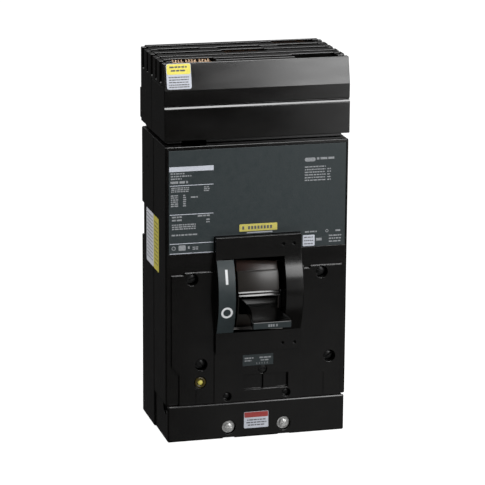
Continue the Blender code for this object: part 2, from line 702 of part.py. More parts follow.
def make_mechanism_plates():
    """The two steel side plates that everything in the centre pole is pinned to."""
    back = -BACK_WALL - GAP
    bar = CROSSBAR_RADIUS + 1.0
    outline = [
        (back, 93), (-60, 93), (-68, 100), (-68, 118), (-48, 152), (-30, 160), (back, 160),
        (back, CROSSBAR_Z + bar), (CROSSBAR_Y - bar, CROSSBAR_Z + bar),
        (CROSSBAR_Y - bar, CROSSBAR_Z - bar), (back, CROSSBAR_Z - bar),
    ]
    for label, side in (("left", -1), ("right", 1)):
        low, high = sorted((side * PLATE_X[0], side * PLATE_X[1]))
        hole = circle(CRADLE_PIVOT, 2.2 + PIN_CLEARANCE, 16)
        side_plate = plate("mechanism_plate_" + label, "x", outline, low, high, holes=[hole])
        stub_x = side * (PLATE_X[1] + YOKE_X[1]) / 2
        stub_length = YOKE_X[1] - PLATE_X[1] + 1.6
        fuse(side_plate, rod("stub_" + label, "x", (stub_x, HANDLE_Y, HANDLE_Z), stub_length, 2.5, 16))
        finish(side_plate, "mechanism_plate_" + label, "spring_steel")


def make_cradle():
    """The lever that the latch holds. Its cheeks carry the upper links' pin."""
    tip = (-40.0, 95.5)
    outline = [
        *arc(CRADLE_PIVOT, 4.0, 60.0, 250.0, 8), (-50.0, 95.5), (tip[0] + 1.5, 94.0),
        (tip[0] + 1.5, 97.0), (-45.5, 98.5), (-46.0, 102.5), (-54.0, 106.5),
    ]
    cradle = box("cradle", span(0, 8), (tip[0] - 1.5, tip[0] + 1.5), (94.0, 97.0))
    for side in (-1, 1):
        low, high = sorted((side * 6.0, side * 8.0))
        hole = circle(CRADLE_PIVOT, 2.2 + PIN_CLEARANCE, 16)
        fuse(cradle, plate("cheek", "x", outline, low, high, holes=[hole]))
    fuse(cradle, rod("link_pin", "x", (0, *CRADLE_LINK_PIN), 30.0, LINK_PIN_RADIUS, 16))
    cut(cradle, box("latch_gap", span(0, 5.9), span(CRADLE_LINK_PIN[0], 3), span(CRADLE_LINK_PIN[1], 3)))
    finish(cradle, "cradle", "spring_steel", (0.0, *CRADLE_PIVOT))
    pin = rod("cradle_pin", "x", (0, *CRADLE_PIVOT), 2 * PLATE_X[1] + 0.2, 2.2, 16)
    return finish(pin, "cradle_pin", "zinc_steel", (0.0, *CRADLE_PIVOT))


def make_links():
    """Both toggle links at rest. The upper one holds the knee pin, the lower one the crossbar pin."""
    knee = knee_point(OPEN_ANGLE)
    foot = crossbar_link_pin(OPEN_ANGLE)
    upper = rod("upper_link", "x", (0, *knee), 28.4, LINK_PIN_RADIUS, 16)
    lower = rod("lower_link", "x", (0, *foot), 24.0, LINK_PIN_RADIUS, 16)
    for side in (-1, 1):
        low, high = sorted((side * 12.6, side * 14.2))
        eye = circle(CRADLE_LINK_PIN, LINK_PIN_RADIUS + PIN_CLEARANCE, 16)
        fuse(upper, plate("upper_bar", "x", capsule(CRADLE_LINK_PIN, knee, 3.6), low, high, holes=[eye]))
        low, high = sorted((side * 10.2, side * 12.0))
        loose_eye = circle(knee, LINK_PIN_RADIUS + 1.0, 16)
        fuse(lower, plate("lower_bar", "x", capsule(foot, knee, 4.2), low, high, holes=[loose_eye]))
    finish(upper, "upper_link", "spring_steel", (0.0, *CRADLE_LINK_PIN))
    finish(lower, "lower_link", "spring_steel", (0.0, *foot))


def make_main_springs():
    """The pair of springs between the knee and the handle's yoke."""
    knee_y, knee_z = knee_point(OPEN_ANGLE)
    reach = 43.2
    anchor_y = HANDLE_Y - reach * math.cos(HANDLE_TURN)
    anchor_z = HANDLE_Z - reach * math.sin(HANDLE_TURN)
    for label, x in (("left", -5.3), ("right", 5.3)):
        start = (x, knee_y - 3.0, knee_z)
        spring = coil("main_spring_" + label, start, (x, anchor_y, anchor_z), 3.3, 1.2, 6)
        finish(spring, "main_spring_" + label, "spring_steel", start, smooth=True)


def make_crossbar():
    """The insulating bar that carries the three contact arms and the toggle's lug."""
    axis = (0.0, CROSSBAR_Y, CROSSBAR_Z)
    bar = rod("crossbar", "x", axis, 130.0, CROSSBAR_RADIUS, 24)
    lug = capsule((CROSSBAR_Y, CROSSBAR_Z), (CROSSBAR_Y - CROSSBAR_LINK_ARM, CROSSBAR_Z), 4.6)
    eye = circle((CROSSBAR_Y - CROSSBAR_LINK_ARM, CROSSBAR_Z), LINK_PIN_RADIUS + PIN_CLEARANCE, 16)
    fuse(bar, plate("lug", "x", lug, -8.5, 8.5, holes=[eye]))
    for x in POLES.values():
        cut(bar, box("arm_seat", span(x, 3.3), (CROSSBAR_Y - 2.3, CROSSBAR_Y + 9), span(CROSSBAR_Z, 10)))
    return finish(bar, "crossbar", "red_thermoset", axis, OPEN_ANGLE)


def make_contact_arms():
    """One moving arm a pole, drawn closed and turned open with the crossbar."""
    tip = CROSSBAR_Z + 57.0
    for label, x in POLES.items():
        outline = [
            (CROSSBAR_Y - 2, CROSSBAR_Z - 7), (CROSSBAR_Y + 3, CROSSBAR_Z - 7),
            (CROSSBAR_Y + 3, tip), (CROSSBAR_Y + 1, tip + 2), (CROSSBAR_Y - 2, tip - 4),
        ]
        arm = plate("contact_arm", "x", outline, x - 3, x + 3)
        pad_y = (CROSSBAR_Y + 2, CROSSBAR_Y + 5.7)
        fuse(arm, box("moving_pad", span(x, 4.5), pad_y, (tip - 10, tip - 0.5)))
        finish(arm, "contact_arm_" + label, "copper", (x, CROSSBAR_Y, CROSSBAR_Z), OPEN_ANGLE)


# Current path and trip unit, one set a pole

def make_line_jaw(label, x):
    """Fixed contact, strap and the two-finger jaw that grips a bus bar."""
    slot_y = SLOT_YS[JAW_SLOTS[label]]
    strap_y = (-8.6, -5.6)
    jaw = box("line_jaw", span(x, 9), strap_y, (184, 262))
    fuse(jaw, box("fixed_pad", span(x, 4.5), (-11.0, -8.0), (187, 197)))
    bridge = (min(slot_y - 5.6, strap_y[0]), max(slot_y + 5.6, strap_y[1]))
    fuse(jaw, box("bridge", span(x, 9), bridge, (258, 262)))
    fuse(jaw, box("jaw_floor", span(x, 16), span(slot_y, 5.6), (258, 262)))
    for side in (-1, 1):
        finger_y = sorted((slot_y + side * 3.6, slot_y + side * 5.6))
        finger = box("finger", span(x, 16), finger_y, (260, 308))
        for offset in (-5.4, 5.4):
            cut(finger, box("finger_slit", span(x + offset, 0.7), span(slot_y, 8), (268, 310)))
        fuse(jaw, finger)
    return finish(jaw, "line_jaw_" + label, "copper")


def make_arc_chute(label, x):
    """Two insulating side walls with a stack of notched steel plates between them."""
    chute = box("arc_chute", span(x, 20), (-66, -63), (206, 232))
    for side in (-1, 1):
        wall_x = sorted((x + side * 18.5, x + side * 20))
        fuse(chute, box("chute_wall", wall_x, (-66, -16), (184, 234)))
    outline = [
        (x - 19, 232), (x - 19, 186), (x - 9, 186), (x - 6.5, 204),
        (x + 6.5, 204), (x + 9, 186), (x + 19, 186), (x + 19, 232),
    ]
    for index in range(6):
        front = -56.0 + index * 7.0
        fuse(chute, plate("splitter", "y", outline, front, front + 1.6))
    return finish(chute, "arc_chute_" + label, "arc_steel")


def make_heater_strap(label, x):
    """The load strap with the bimetal standing in front of it."""
    strap = box("heater_strap", span(x, 8), STRAP_Y, (5.5, 112))
    fuse(strap, box("rivet", span(x, 5), (-18.0, -12.0), (37, 43)))
    fuse(strap, box("bimetal", span(x, 4.5), (-19.0, -17.5), (37, 92)))
    return finish(strap, "heater_strap_" + label, "copper")


def make_magnet(label, x):
    """The steel yoke around the strap, with two ears for the armature."""
    yoke = box("magnet", span(x, 13), (-8.9, -6.0), (48, 66))
    for side in (-1, 1):
        fuse(yoke, box("pole_leg", sorted((x + side * 10, x + side * 13)), (-23, -8), (48, 66)))
        fuse(yoke, box("ear_root", sorted((x + side * 12, x + side * 15.4)), (-12, -8), (58, 76)))
        ear = box("ear", sorted((x + side * 13.6, x + side * 15.4)), (-31, -9), (66, 76))
        ear_middle = (x + side * 14.5, ARMATURE_Y, ARMATURE_Z)
        fuse(yoke, cut(ear, rod("ear_hole", "x", ear_middle, 6, 1.75, 12)))
    return finish(yoke, "magnet_" + label, "spring_steel")


def make_armature(label, x):
    """The hinged steel flap that the magnet pulls in on a short circuit."""
    axis = (x, ARMATURE_Y, ARMATURE_Z)
    flap_y = span(ARMATURE_Y, 1)
    flap = box("armature", span(x, 12.5), flap_y, (47, ARMATURE_Z))
    fuse(flap, box("tail", span(x, 3.5), flap_y, (ARMATURE_Z - CUT, 86)))
    fuse(flap, rod("hinge_rod", "x", axis, 30.4, 1.6, 12))
    return finish(flap, "armature_" + label, "zinc_steel", axis)


def make_load_lug(label, x):
    """The cable lug. The wire goes up its bore, and the set screw clamps it from the front."""
    lug = rounded(box("load_lug", span(x, 13.5), (-43.2, -13.1), (6.5, 30.5)), 0.8, 1)
    cut(lug, rod("wire_bore", "z", (x, LUG_Y, LUG_SCREW_Z), 40, 9.0, 28))
    cut(lug, rod("screw_bore", "y", (x, -42, LUG_SCREW_Z), 14, 5.4, 20))
    finish(lug, "load_lug_" + label, "aluminium")
    profile = [(0.0, 0.0), (5.1, 0.0), (5.1, 20.5), (3.5, 22.0), (0.0, 22.0)]
    head = (x, LUG_SCREW_Y, LUG_SCREW_Z)
    screw = turned("lug_screw", profile, head)
    socket = circle((x, LUG_SCREW_Z), HEX_SOCKET_RADIUS, 6)
    cut(screw, plate("hex_socket", "y", socket, LUG_SCREW_Y - CUT, LUG_SCREW_Y + 6.0))
    finish(screw, "lug_screw_" + label, "zinc_steel", head, smooth=True)


def make_braid(label, x):
    """The flexible copper braid between the strap's top and the moving arm's heel."""
    middle = [(-11.3, 112.4), (-9.0, 117.0), (-8.6, 122.0), (-10.5, 126.0), (-13.5, 128.6)]
    half = 1.2
    outer = [(y + half, z + 0.2) for y, z in middle]
    inner = [(y - half, z - 0.2) for y, z in reversed(middle)]
    braid = plate("flexible_braid", "x", outer + inner, x - 6, x + 6)
    return finish(braid, "flexible_braid_" + label, "copper")


def make_trip_bar():
    """The bar across all poles that the button, the bimetals and the armatures turn."""
    axis = (0.0, TRIP_BAR_Y, TRIP_BAR_Z)
    bar = rod("trip_bar", "x", axis, 134.0, 3.5, 16)
    for x in POLES.values():
        fuse(bar, box("paddle", span(x, 5), (-40.5, -30.2), (80, 85)))
        fuse(bar, box("riser", span(x, 5), (-40.5, -37.5), (80, 91)))
        fuse(bar, box("nose", span(x, 5), (-40.5, -21.2), (87.2, 91)))
    fuse(bar, box("finger", (-38.8, -35.4), (-42.0, -39.0), (45, 80)))
    fuse(bar, box("foot", (-51.0, -35.4), (-42.0, -39.0), (45, 53)))
    fuse(bar, box("latch_stem", span(0, 4), (-45.6, -43.2), (79, 99.6)))
    fuse(bar, box("latch_root", span(0, 4), (-45.6, -40.0), (78, 82)))
    fuse(bar, box("latch_lip", span(0, 4), (-45.6, -40.0), (97.4, 99.6)))
    return finish(bar, "trip_bar", "black_thermoset", axis)


# Front controls

def make_trip_button():
    """The push-to-trip button, its retaining flange and its return spring."""
    profile = [
        (0.0, 0.0), (3.6, 0.0), (4.4, 0.8), (4.4, 7.0), (6.4, 7.0), (6.4, 8.6),
        (2.5, 8.6), (2.5, 46.2), (0.0, 46.2),
    ]
    center = (BUTTON_X, BUTTON_FRONT_Y, BUTTON_Z)
    button = turned("trip_button", profile, center)
    finish(button, "trip_button", "yellow_plastic", center, smooth=True)
    start = (BUTTON_X, -79.0, BUTTON_Z)
    spring = coil("trip_button_spring", start, (BUTTON_X, -67.0, BUTTON_Z), 4.0, 0.8, 4)
    finish(spring, "trip_button_spring", "spring_steel", start, smooth=True)


def make_adjuster_knob():
    """The slotted dial that sets the magnetic trip level."""
    profile = [
        (0.0, 0.0), (2.8, 0.0), (3.3, 0.5), (3.3, 5.7), (5.2, 5.7), (5.2, 7.3),
        (2.0, 7.3), (2.0, 19.0), (0.0, 19.0),
    ]
    center = (KNOB_X, KNOB_FRONT_Y, KNOB_Z)
    knob = turned("adjuster_knob", profile, center)
    slot_y = (KNOB_FRONT_Y - CUT, KNOB_FRONT_Y + 1.4)
    cut(knob, box("knob_slot", span(KNOB_X, 2.6), slot_y, span(KNOB_Z, 0.5)))
    return finish(knob, "adjuster_knob", "zinc_steel", center, smooth=True)


def build():
    make_base()
    make_cover()
    make_load_end_cover()
    make_jaw_housing()
    make_line_end_cover()
    make_escutcheon()
    make_position_plate()
    make_nameplate()
    make_fasteners()
    make_handle()
    make_handle_yoke()
    make_mechanism_plates()
    make_cradle()
    make_links()
    make_main_springs()
    make_crossbar()
    make_contact_arms()
    make_trip_bar()
    make_trip_button()
    make_adjuster_knob()
    for label, x in POLES.items():
        make_line_jaw(label, x)
        make_arc_chute(label, x)
        make_heater_strap(label, x)
        make_magnet(label, x)
        make_armature(label, x)
        make_load_lug(label, x)
        make_braid(label, x)


clear_scene()
PARTS = new_collection("molded_case_breaker")
CUTTERS = new_collection("cutters")
FRAME = make_frame()
MADE = make_materials()
build()
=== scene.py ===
"""Looks of a three-pole plug-on molded case breaker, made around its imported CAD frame.

Lengths are in millimetres in the breaker's own frame: X runs across the poles, -Y is
the front with the handle, Z = 0 is the load end and Y = 0 the back of the base.
"""

import json
import math
import random

import bmesh
import bpy
from mathutils import Matrix, Vector


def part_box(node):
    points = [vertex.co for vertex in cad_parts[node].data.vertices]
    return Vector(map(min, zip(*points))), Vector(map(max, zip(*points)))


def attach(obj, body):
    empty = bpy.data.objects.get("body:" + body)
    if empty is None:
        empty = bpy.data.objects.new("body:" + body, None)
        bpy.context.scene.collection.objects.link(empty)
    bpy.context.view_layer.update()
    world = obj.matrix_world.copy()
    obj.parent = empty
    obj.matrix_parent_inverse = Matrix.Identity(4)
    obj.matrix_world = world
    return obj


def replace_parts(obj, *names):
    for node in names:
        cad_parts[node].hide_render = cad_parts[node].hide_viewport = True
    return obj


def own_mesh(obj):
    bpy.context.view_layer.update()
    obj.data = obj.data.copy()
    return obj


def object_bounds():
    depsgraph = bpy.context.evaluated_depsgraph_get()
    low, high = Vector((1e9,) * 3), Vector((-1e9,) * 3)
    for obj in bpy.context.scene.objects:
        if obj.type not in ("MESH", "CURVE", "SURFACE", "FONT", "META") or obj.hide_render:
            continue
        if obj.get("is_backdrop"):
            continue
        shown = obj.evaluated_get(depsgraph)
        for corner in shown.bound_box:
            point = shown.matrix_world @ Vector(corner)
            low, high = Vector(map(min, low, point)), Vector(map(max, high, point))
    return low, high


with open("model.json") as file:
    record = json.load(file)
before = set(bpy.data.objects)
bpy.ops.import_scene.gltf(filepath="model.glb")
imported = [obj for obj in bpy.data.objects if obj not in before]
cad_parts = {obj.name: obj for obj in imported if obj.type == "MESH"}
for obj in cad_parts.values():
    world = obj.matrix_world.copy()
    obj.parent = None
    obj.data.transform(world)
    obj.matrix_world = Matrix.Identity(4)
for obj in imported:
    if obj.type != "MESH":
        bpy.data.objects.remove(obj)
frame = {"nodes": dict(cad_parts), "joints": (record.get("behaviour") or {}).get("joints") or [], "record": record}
CAD_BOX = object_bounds()

MM = 0.001
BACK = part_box("base")[1].y                     # Y = 0 of the breaker's own frame
BODY_OF = {node: body for body, nodes in frame["record"]["behaviour"]["bodies"].items() for node in nodes}

INK_LOW = -0.05                                # printing starts just inside its surface
INK_HIGH = 0.05
STICKER_HIGH = 0.12
PRINT_RISE = 0.03                              # each layer of printing on a sticker

SHARP_ANGLE = math.radians(35.0)               # edges over this are rounded
CREASE_ANGLE = math.radians(12.0)              # bends under this belong to curved faces
FLAT_ANGLE = math.radians(0.5)
WELD_DISTANCE = 2e-6
ROOM_SHARE = 0.42                              # most of a short edge that a rounding takes

# Edge radii of the moldings; other CAD shapes get INNER_RADIUS
MOLDINGS = {
    "base": 0.8, "cover": 0.35, "load_end_cover": 0.12, "jaw_housing": 0.5, "line_end_cover": 0.6,
    "escutcheon": 0.5, "nameplate": 0.12, "position_plate": 0.12, "crossbar": 0.5, "trip_bar": 0.4,
}
INNER_RADIUS = 0.25

# CAD shapes that are modelled again here: screws by their first words, the others by name
SCREWS = ("cover_screw", "load_cover_screw", "mounting_screw")
REBUILT = ("trip_button", "trip_button_spring", "adjuster_knob", "handle")

# Handle at rest, as in the part
HANDLE_OFF_ANGLE = math.radians(9.0)           # how far the grip points below forward
TIP_RADIUS = 97.5                              # end face of the grip
CHEEK_FACE_RADIUS = 62.6                       # printed face of the position plate
GUARD_HALF_WIDTH = 17.1
GUARD_RADII = (50.5, 54.5)                     # distances from the handle's axis
GUARD_DEGREES = (-53.0, 30.0)                  # angles above forward
UPPER_BAND_RADII = (50.6, 52.7)
UPPER_BAND_DEGREES = (29.8, 47.0)
SEAT_RADII = (47.7, 50.6)                      # block between the guard and the yoke
SEAT_DEGREES = (-9.0, 9.0)
SEAT_HALF_WIDTH = 12.0
LIP_FOOT = 54.0                                # where the lips start, inside the guard
LIPS = {"upper": (11.7, 55.6), "lower": (9.2, 57.0)}    # angle, distance of the lip's front

# Grip: (distance from its root, millimetres) pairs
GRIP_ROOT = 52.5
GRIP_LENGTH = 45
GRIP_CREASE = 9.8                              # end of the sloping facet below the lips
GRIP_TOPS = [(0.0, 8.0), (GRIP_CREASE, 4.2), (22.0, 4.2), (45.0, 4.4)]
GRIP_FEET = [(0.0, -8.6), (GRIP_CREASE, -4.3), (30.0, -3.4), (45.0, -1.2)]
GRIP_HALF_WIDTHS = [
    (0.0, 17.0), (4.0, 15.2), (10.0, 12.4), (17.0, 11.8), (26.0, 12.8), (35.0, 15.0), (45.0, 16.3),
]

# Serrated tips of the jaws' fingers
JAW_SLOT_Y = {"left": -72.0, "center": -40.5, "right": -9.0}
JAW_FINGERS = (-10.9, 0.0, 10.9)               # their middles across the jaw
JAW_TIP_RISE = {"left": 2.6, "center": -2.0, "right": -2.0}
TEETH = 8
TOOTH_PITCH = 2.2 / 1.9
TOOTH_HALF_WIDTH = 0.56
TOOTH_NOTCH = 1.6

# Marks on the sides, as (Y, Z)
PIPS = [(-19.6, 223.2), (-23.2, 216.7)]
PIP_RADIUS = 0.9
RIDGES = [((-1.0, 271.3), (-69.0, 276.7)), ((-3.0, 257.0), (-69.0, 259.7))]
RIDGE_HALF_HEIGHT = 0.2

# Sill of the handle's slot: its section as (Y, Z)
SILL_SECTION = [(-91.8, 90.6), (-86.2, 90.6), (-86.2, 93.5), (-86.7, 93.5), (-91.8, 91.0)]
SILL_HALF_WIDTH = 20.7

# Printed rows on the nameplate: left end, right end, depths below its top edge, height
LEFT_RULES = (28.4, 52.1, 76.0, 84.1)
COLUMN_DEPTHS = (36.4, 38.1, 39.8, 41.5, 43.2, 44.9)
LEFT_ROWS = [
    (1.4, 12.7, (18.6,), 1.1), (1.6, 18.4, (20.7,), 1.1), (1.6, 10.5, (22.8,), 1.1),
    (1.4, 15.6, (25.7,), 1.9),
    (1.9, 16.5, (30.2, 31.7, 33.2), 0.9), (28.7, 33.3, (30.4, 31.9, 33.4), 0.9),
    (1.6, 7.6, COLUMN_DEPTHS, 1.0), (11.6, 14.0, COLUMN_DEPTHS, 1.0), (17.9, 23.6, (38.2,), 1.2),
    (2.5, 10.5, (54.0, 56.6), 1.3), (23.6, 33.4, (53.8,), 1.3), (30.6, 33.4, (57.0, 59.0), 1.1),
    (2.5, 21.9, (60.4, 62.1, 63.8), 1.0), (2.2, 23.1, (68.8,), 1.2),
]
MARK_ROWS = [(19.4, 24.0, (79.4, 80.9), 0.9)]
# The ends of these rows are measured back from the plate's right edge.
RIGHT_ROWS = [
    (24.4, 9.9, (12.0,), 1.8),
    (34.4, 17.0, (18.6, 20.8, 23.0, 25.2, 27.4, 29.6), 1.0),
    (15.7, 12.6, (20.8, 23.0, 25.2, 27.4, 29.6), 1.0),
    (33.7, 23.7, (72.3,), 1.2), (8.0, 3.0, (72.4,), 1.4),
    (13.6, 3.0, (76.4, 78.8, 81.2), 1.1), (24.2, 19.5, (79.0,), 2.2),
]
SQUARE_ROWS = [(34.4, 26.6, (76.8, 79.6, 82.2), 0.8)]
BADGE_STARTS = [-13.4] + [-8.6 + 2.6 * index for index in range(8)]    # left ends of its blocks

SIDE_STICKER_Z = (136.5, 181.0)

# Photographic set
CAMERA_PLACE = Vector((-0.508, -1.902, 0.670))
CAMERA_YAW = math.radians(14.80)
CAMERA_PITCH = math.radians(14.61)
CAMERA_ROLL = math.radians(0.36)
CAMERA_LENS = 185.6
WORLD_STRENGTH = 0.03
BACKDROP_RADIUS = 9.0
# name: place, what it points at, size, watts
LIGHTS = {
    "overhead_softbox": ((0.35, -0.35, 1.9), (0.05, -0.05, 0.2), (1.2, 1.0), 50.0),
    "front_right_softbox": ((0.70, -1.25, 0.66), (0.0, 0.0, 0.30), (0.66, 0.5), 8.6),
    "rear_panel": ((0.35, 1.9, 0.94), (0.0, 0.0, 0.25), (2.0, 0.42), 0.7),
    "floor_card": ((0.60, -1.0, -0.44), (0.05, 0.0, 0.10), (0.9, 0.5), 0.33),
    "rear_fill_right": ((1.1, 1.5, 0.30), (0.0, 0.1, 0.15), (0.8, 0.8), 6.0),
    "rear_fill_left": ((-1.3, 1.2, 0.95), (0.0, 0.1, 0.15), (0.8, 0.8), 6.0),
    "low_card": ((0.64, -1.0, 0.16), (0.05, 0.0, 0.15), (0.6, 0.42), 1.2),
}


def spot(x, y, z):
    """A point given in the breaker's own millimetres."""
    return Vector((x * MM, BACK + y * MM, z * MM))


def extent(node):
    """A node's lowest and highest corners in the breaker's own millimetres."""
    return [Vector((corner.x, corner.y - BACK, corner.z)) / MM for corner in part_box(node)]


# Materials

class Finish:
    """One node material on a Principled shader, with textures in object coordinates."""

    def __init__(self, name, roughness, metallic=0.0, specular=0.5):
        self.material = bpy.data.materials.new(name)
        self.material.use_nodes = True
        self.nodes = self.material.node_tree.nodes
        self.links = self.material.node_tree.links
        self.shader = self.nodes["Principled BSDF"]
        self.shader.inputs["Roughness"].default_value = roughness
        self.shader.inputs["Metallic"].default_value = metallic
        self.shader.inputs["Specular IOR Level"].default_value = specular
        self.place = self.nodes.new("ShaderNodeTexCoord").outputs["Object"]

    def stretched(self, scale):
        """Object coordinates scaled differently along X, Y and Z."""
        mapping = self.nodes.new("ShaderNodeMapping")
        mapping.inputs["Scale"].default_value = scale
        self.links.new(self.place, mapping.inputs["Vector"])
        return mapping.outputs["Vector"]

    def noise(self, size, detail=3.0, stretch=(1.0, 1.0, 1.0)):
        """Noise with features about size millimetres across."""
        texture = self.nodes.new("ShaderNodeTexNoise")
        texture.inputs["Scale"].default_value = 1.0 / (size * MM)
        texture.inputs["Detail"].default_value = detail
        self.links.new(self.stretched(stretch), texture.inputs["Vector"])
        return texture.outputs["Fac"]

    def waves(self, size, axis, distortion=0.0):
        """Bands about size millimetres apart along one axis."""
        texture = self.nodes.new("ShaderNodeTexWave")
        texture.bands_direction = axis
        texture.inputs["Scale"].default_value = 1.0 / (size * MM * math.pi)
        texture.inputs["Distortion"].default_value = distortion
        self.links.new(self.place, texture.inputs["Vector"])
        return texture.outputs["Fac"]

    def spread(self, value, low, high, from_low=0.3, from_high=0.7):
        """A texture's value brought into the range that a socket needs."""
        ranged = self.nodes.new("ShaderNodeMapRange")
        ranged.inputs["From Min"].default_value = from_low
        ranged.inputs["From Max"].default_value = from_high
        ranged.inputs["To Min"].default_value = low
        ranged.inputs["To Max"].default_value = high
        self.links.new(value, ranged.inputs["Value"])
        return ranged.outputs["Result"]

    def blend(self, share, first, second):
        """A colour between two colours or sockets."""
        mix = self.nodes.new("ShaderNodeMix")
        mix.data_type = "RGBA"
        self.links.new(share, mix.inputs["Factor"])
        for socket, value in ((mix.inputs[6], first), (mix.inputs[7], second)):
            if isinstance(value, tuple):
                socket.default_value = (*value, 1.0)
            else:
                self.links.new(value, socket)
        return mix.outputs[2]

    def multiply(self, first, second):
        node = self.nodes.new("ShaderNodeMath")
        node.operation = "MULTIPLY"
        self.links.new(first, node.inputs[0])
        self.links.new(second, node.inputs[1])
        return node.outputs[0]

    def bump(self, *layers):
        """Relief from (height, millimetres) pairs, each laid on the last."""
        normal = None
        for height, depth in layers:
            node = self.nodes.new("ShaderNodeBump")
            node.inputs["Distance"].default_value = depth * MM
            self.links.new(height, node.inputs["Height"])
            if normal:
                self.links.new(normal, node.inputs["Normal"])
            normal = node.outputs["Normal"]
        self.links.new(normal, self.shader.inputs["Normal"])

    def set(self, socket, output):
        self.links.new(output, self.shader.inputs[socket])


def molded(name, dark, light, roughness, grain=0.004, specular=0.5, patch=18.0):
    """Molded plastic: clouded color, fine grain, flow marks and uneven gloss."""
    finish = Finish(name, roughness, specular=specular)
    cloud = finish.noise(patch, 5.0)
    fleck = finish.noise(0.9, 2.0)
    shade = finish.spread(finish.multiply(cloud, fleck), 0.0, 1.0, 0.12, 0.40)
    finish.set("Base Color", finish.blend(shade, dark, light))
    flow = finish.noise(26.0, 4.0, (0.35, 1.0, 1.6))
    finish.set("Roughness", finish.spread(flow, roughness - 0.04, roughness + 0.06))
    finish.bump((finish.noise(0.5, 2.0), grain), (flow, grain * 8.0))
    return finish.material


def metal(name, dark, light, roughness, brushed=(1.0, 1.0, 1.0), patch=6.0, grain=0.01, metallic=1.0):
    """Plain or plated metal with drawn marks and slight staining."""
    finish = Finish(name, roughness, metallic=metallic)
    stain = finish.noise(patch, 5.0)
    marks = finish.noise(0.6, 3.0, brushed)
    finish.set("Base Color", finish.blend(finish.spread(stain, 0.0, 1.0), dark, light))
    finish.set("Roughness", finish.spread(marks, roughness - 0.08, roughness + 0.12))
    finish.bump((marks, grain))
    return finish.material


def woven(name, dark, light):
    """Flat braid: two crossing sets of strands."""
    finish = Finish(name, 0.4, metallic=1.0)
    strands = finish.multiply(finish.waves(0.8, "X"), finish.waves(0.8, "DIAGONAL"))
    finish.set("Base Color", finish.blend(strands, dark, light))
    finish.bump((strands, 0.2))
    return finish.material


def printed(name, dark, light, roughness=0.45):
    """Ink or vinyl: nearly even color with faint screen mottling."""
    finish = Finish(name, roughness)
    mottle = finish.noise(1.4, 4.0)
    finish.set("Base Color", finish.blend(finish.spread(mottle, 0.0, 1.0), dark, light))
    finish.set("Roughness", finish.spread(finish.noise(5.0), roughness - 0.06, roughness + 0.08))
    finish.bump((mottle, 0.004))
    return finish.material


MATERIALS = {
    "black_thermoset": molded("thermoset", (0.0012, 0.0011, 0.0010), (0.0034, 0.0031, 0.0028), 0.17),
    "black_gloss": molded("gloss", (0.0007, 0.0006, 0.0006), (0.0016, 0.0014, 0.0013), 0.18, 0.002),
    "slate_plate": printed("slate", (0.016, 0.024, 0.026), (0.021, 0.029, 0.031), 0.36),
    "zinc_steel": metal("zinc", (0.42, 0.42, 0.41), (0.80, 0.80, 0.79), 0.30, patch=1.6, metallic=0.6),
    "spring_steel": metal("steel", (0.24, 0.24, 0.25), (0.38, 0.38, 0.39), 0.34, (1.0, 1.0, 0.12)),
    "copper": metal("copper", (0.50, 0.24, 0.12), (0.72, 0.42, 0.24), 0.32, (0.15, 1.0, 1.0)),
    "aluminium": metal("tinned_aluminium", (0.52, 0.52, 0.53), (0.70, 0.70, 0.71), 0.38, (1.0, 1.0, 0.1)),
    "arc_steel": metal("arc_plates", (0.20, 0.20, 0.20), (0.38, 0.37, 0.36), 0.45, patch=3.0),
    "yellow_plastic": molded("yellow", (0.42, 0.37, 0.07), (0.52, 0.46, 0.10), 0.34, 0.003),
    "red_thermoset": molded("red", (0.13, 0.025, 0.018), (0.19, 0.04, 0.028), 0.45),
}
BRAID = woven("braid", (0.35, 0.16, 0.08), (0.78, 0.46, 0.27))
BLACK_STEEL = metal("black_steel", (0.012, 0.012, 0.012), (0.035, 0.035, 0.035), 0.30, metallic=0.6)
PALE_COPPER = metal("pale_copper", (0.30, 0.17, 0.09), (0.62, 0.46, 0.32), 0.34, patch=2.0, metallic=0.7)
WARM_GUARD = molded("guard", (0.0130, 0.0108, 0.0090), (0.0190, 0.0162, 0.0140), 0.30, 0.003)
# Light grey of the slot sill: a painted highlight where its ledge catches light, not wear
PAINTED_HIGHLIGHT_SILL = molded("sill_painted_highlight", (0.10, 0.096, 0.092), (0.17, 0.163, 0.156), 0.40, patch=5.0)
# Darker, duller copy of the black gloss for the grip: its darker colour is painted shade
GRIP_SHADED_GLOSS = molded("grip", (0.0003, 0.0003, 0.0003), (0.0008, 0.0008, 0.0007), 0.13, 0.002, specular=0.20)
BROWNED = molded("browned", (0.016, 0.012, 0.010), (0.038, 0.0165, 0.0130), 0.30, 0.003, patch=9.0)
AMBER = molded("amber", (0.030, 0.022, 0.003), (0.050, 0.037, 0.006), 0.30, 0.003)
WHITE_INK = printed("white_ink", (0.17, 0.18, 0.19), (0.24, 0.25, 0.26))
BRIGHT_INK = printed("bright_ink", (0.52, 0.53, 0.54), (0.60, 0.61, 0.62), 0.38)
SIDE_VINYL = printed("side_vinyl", (0.66, 0.67, 0.72), (0.74, 0.75, 0.80), 0.38)
WHITE_VINYL = printed("white_vinyl", (0.40, 0.42, 0.47), (0.46, 0.48, 0.53), 0.38)
YELLOW_VINYL = printed("yellow_vinyl", (0.60, 0.53, 0.07), (0.68, 0.60, 0.10), 0.38)
RED_VINYL = printed("red_vinyl", (0.25, 0.024, 0.022), (0.30, 0.034, 0.03), 0.38)
GRAY_INK = printed("gray_ink", (0.06, 0.06, 0.065), (0.085, 0.085, 0.09))


# Pieces

def bar_between(bm, near, far):
    """Adds the solid between two outlines with the same number of points."""
    bm.faces.new(near)
    bm.faces.new(list(reversed(far)))
    for index, point in enumerate(near):
        after = (index + 1) % len(near)
        bm.faces.new((point, far[index], far[after], near[after]))


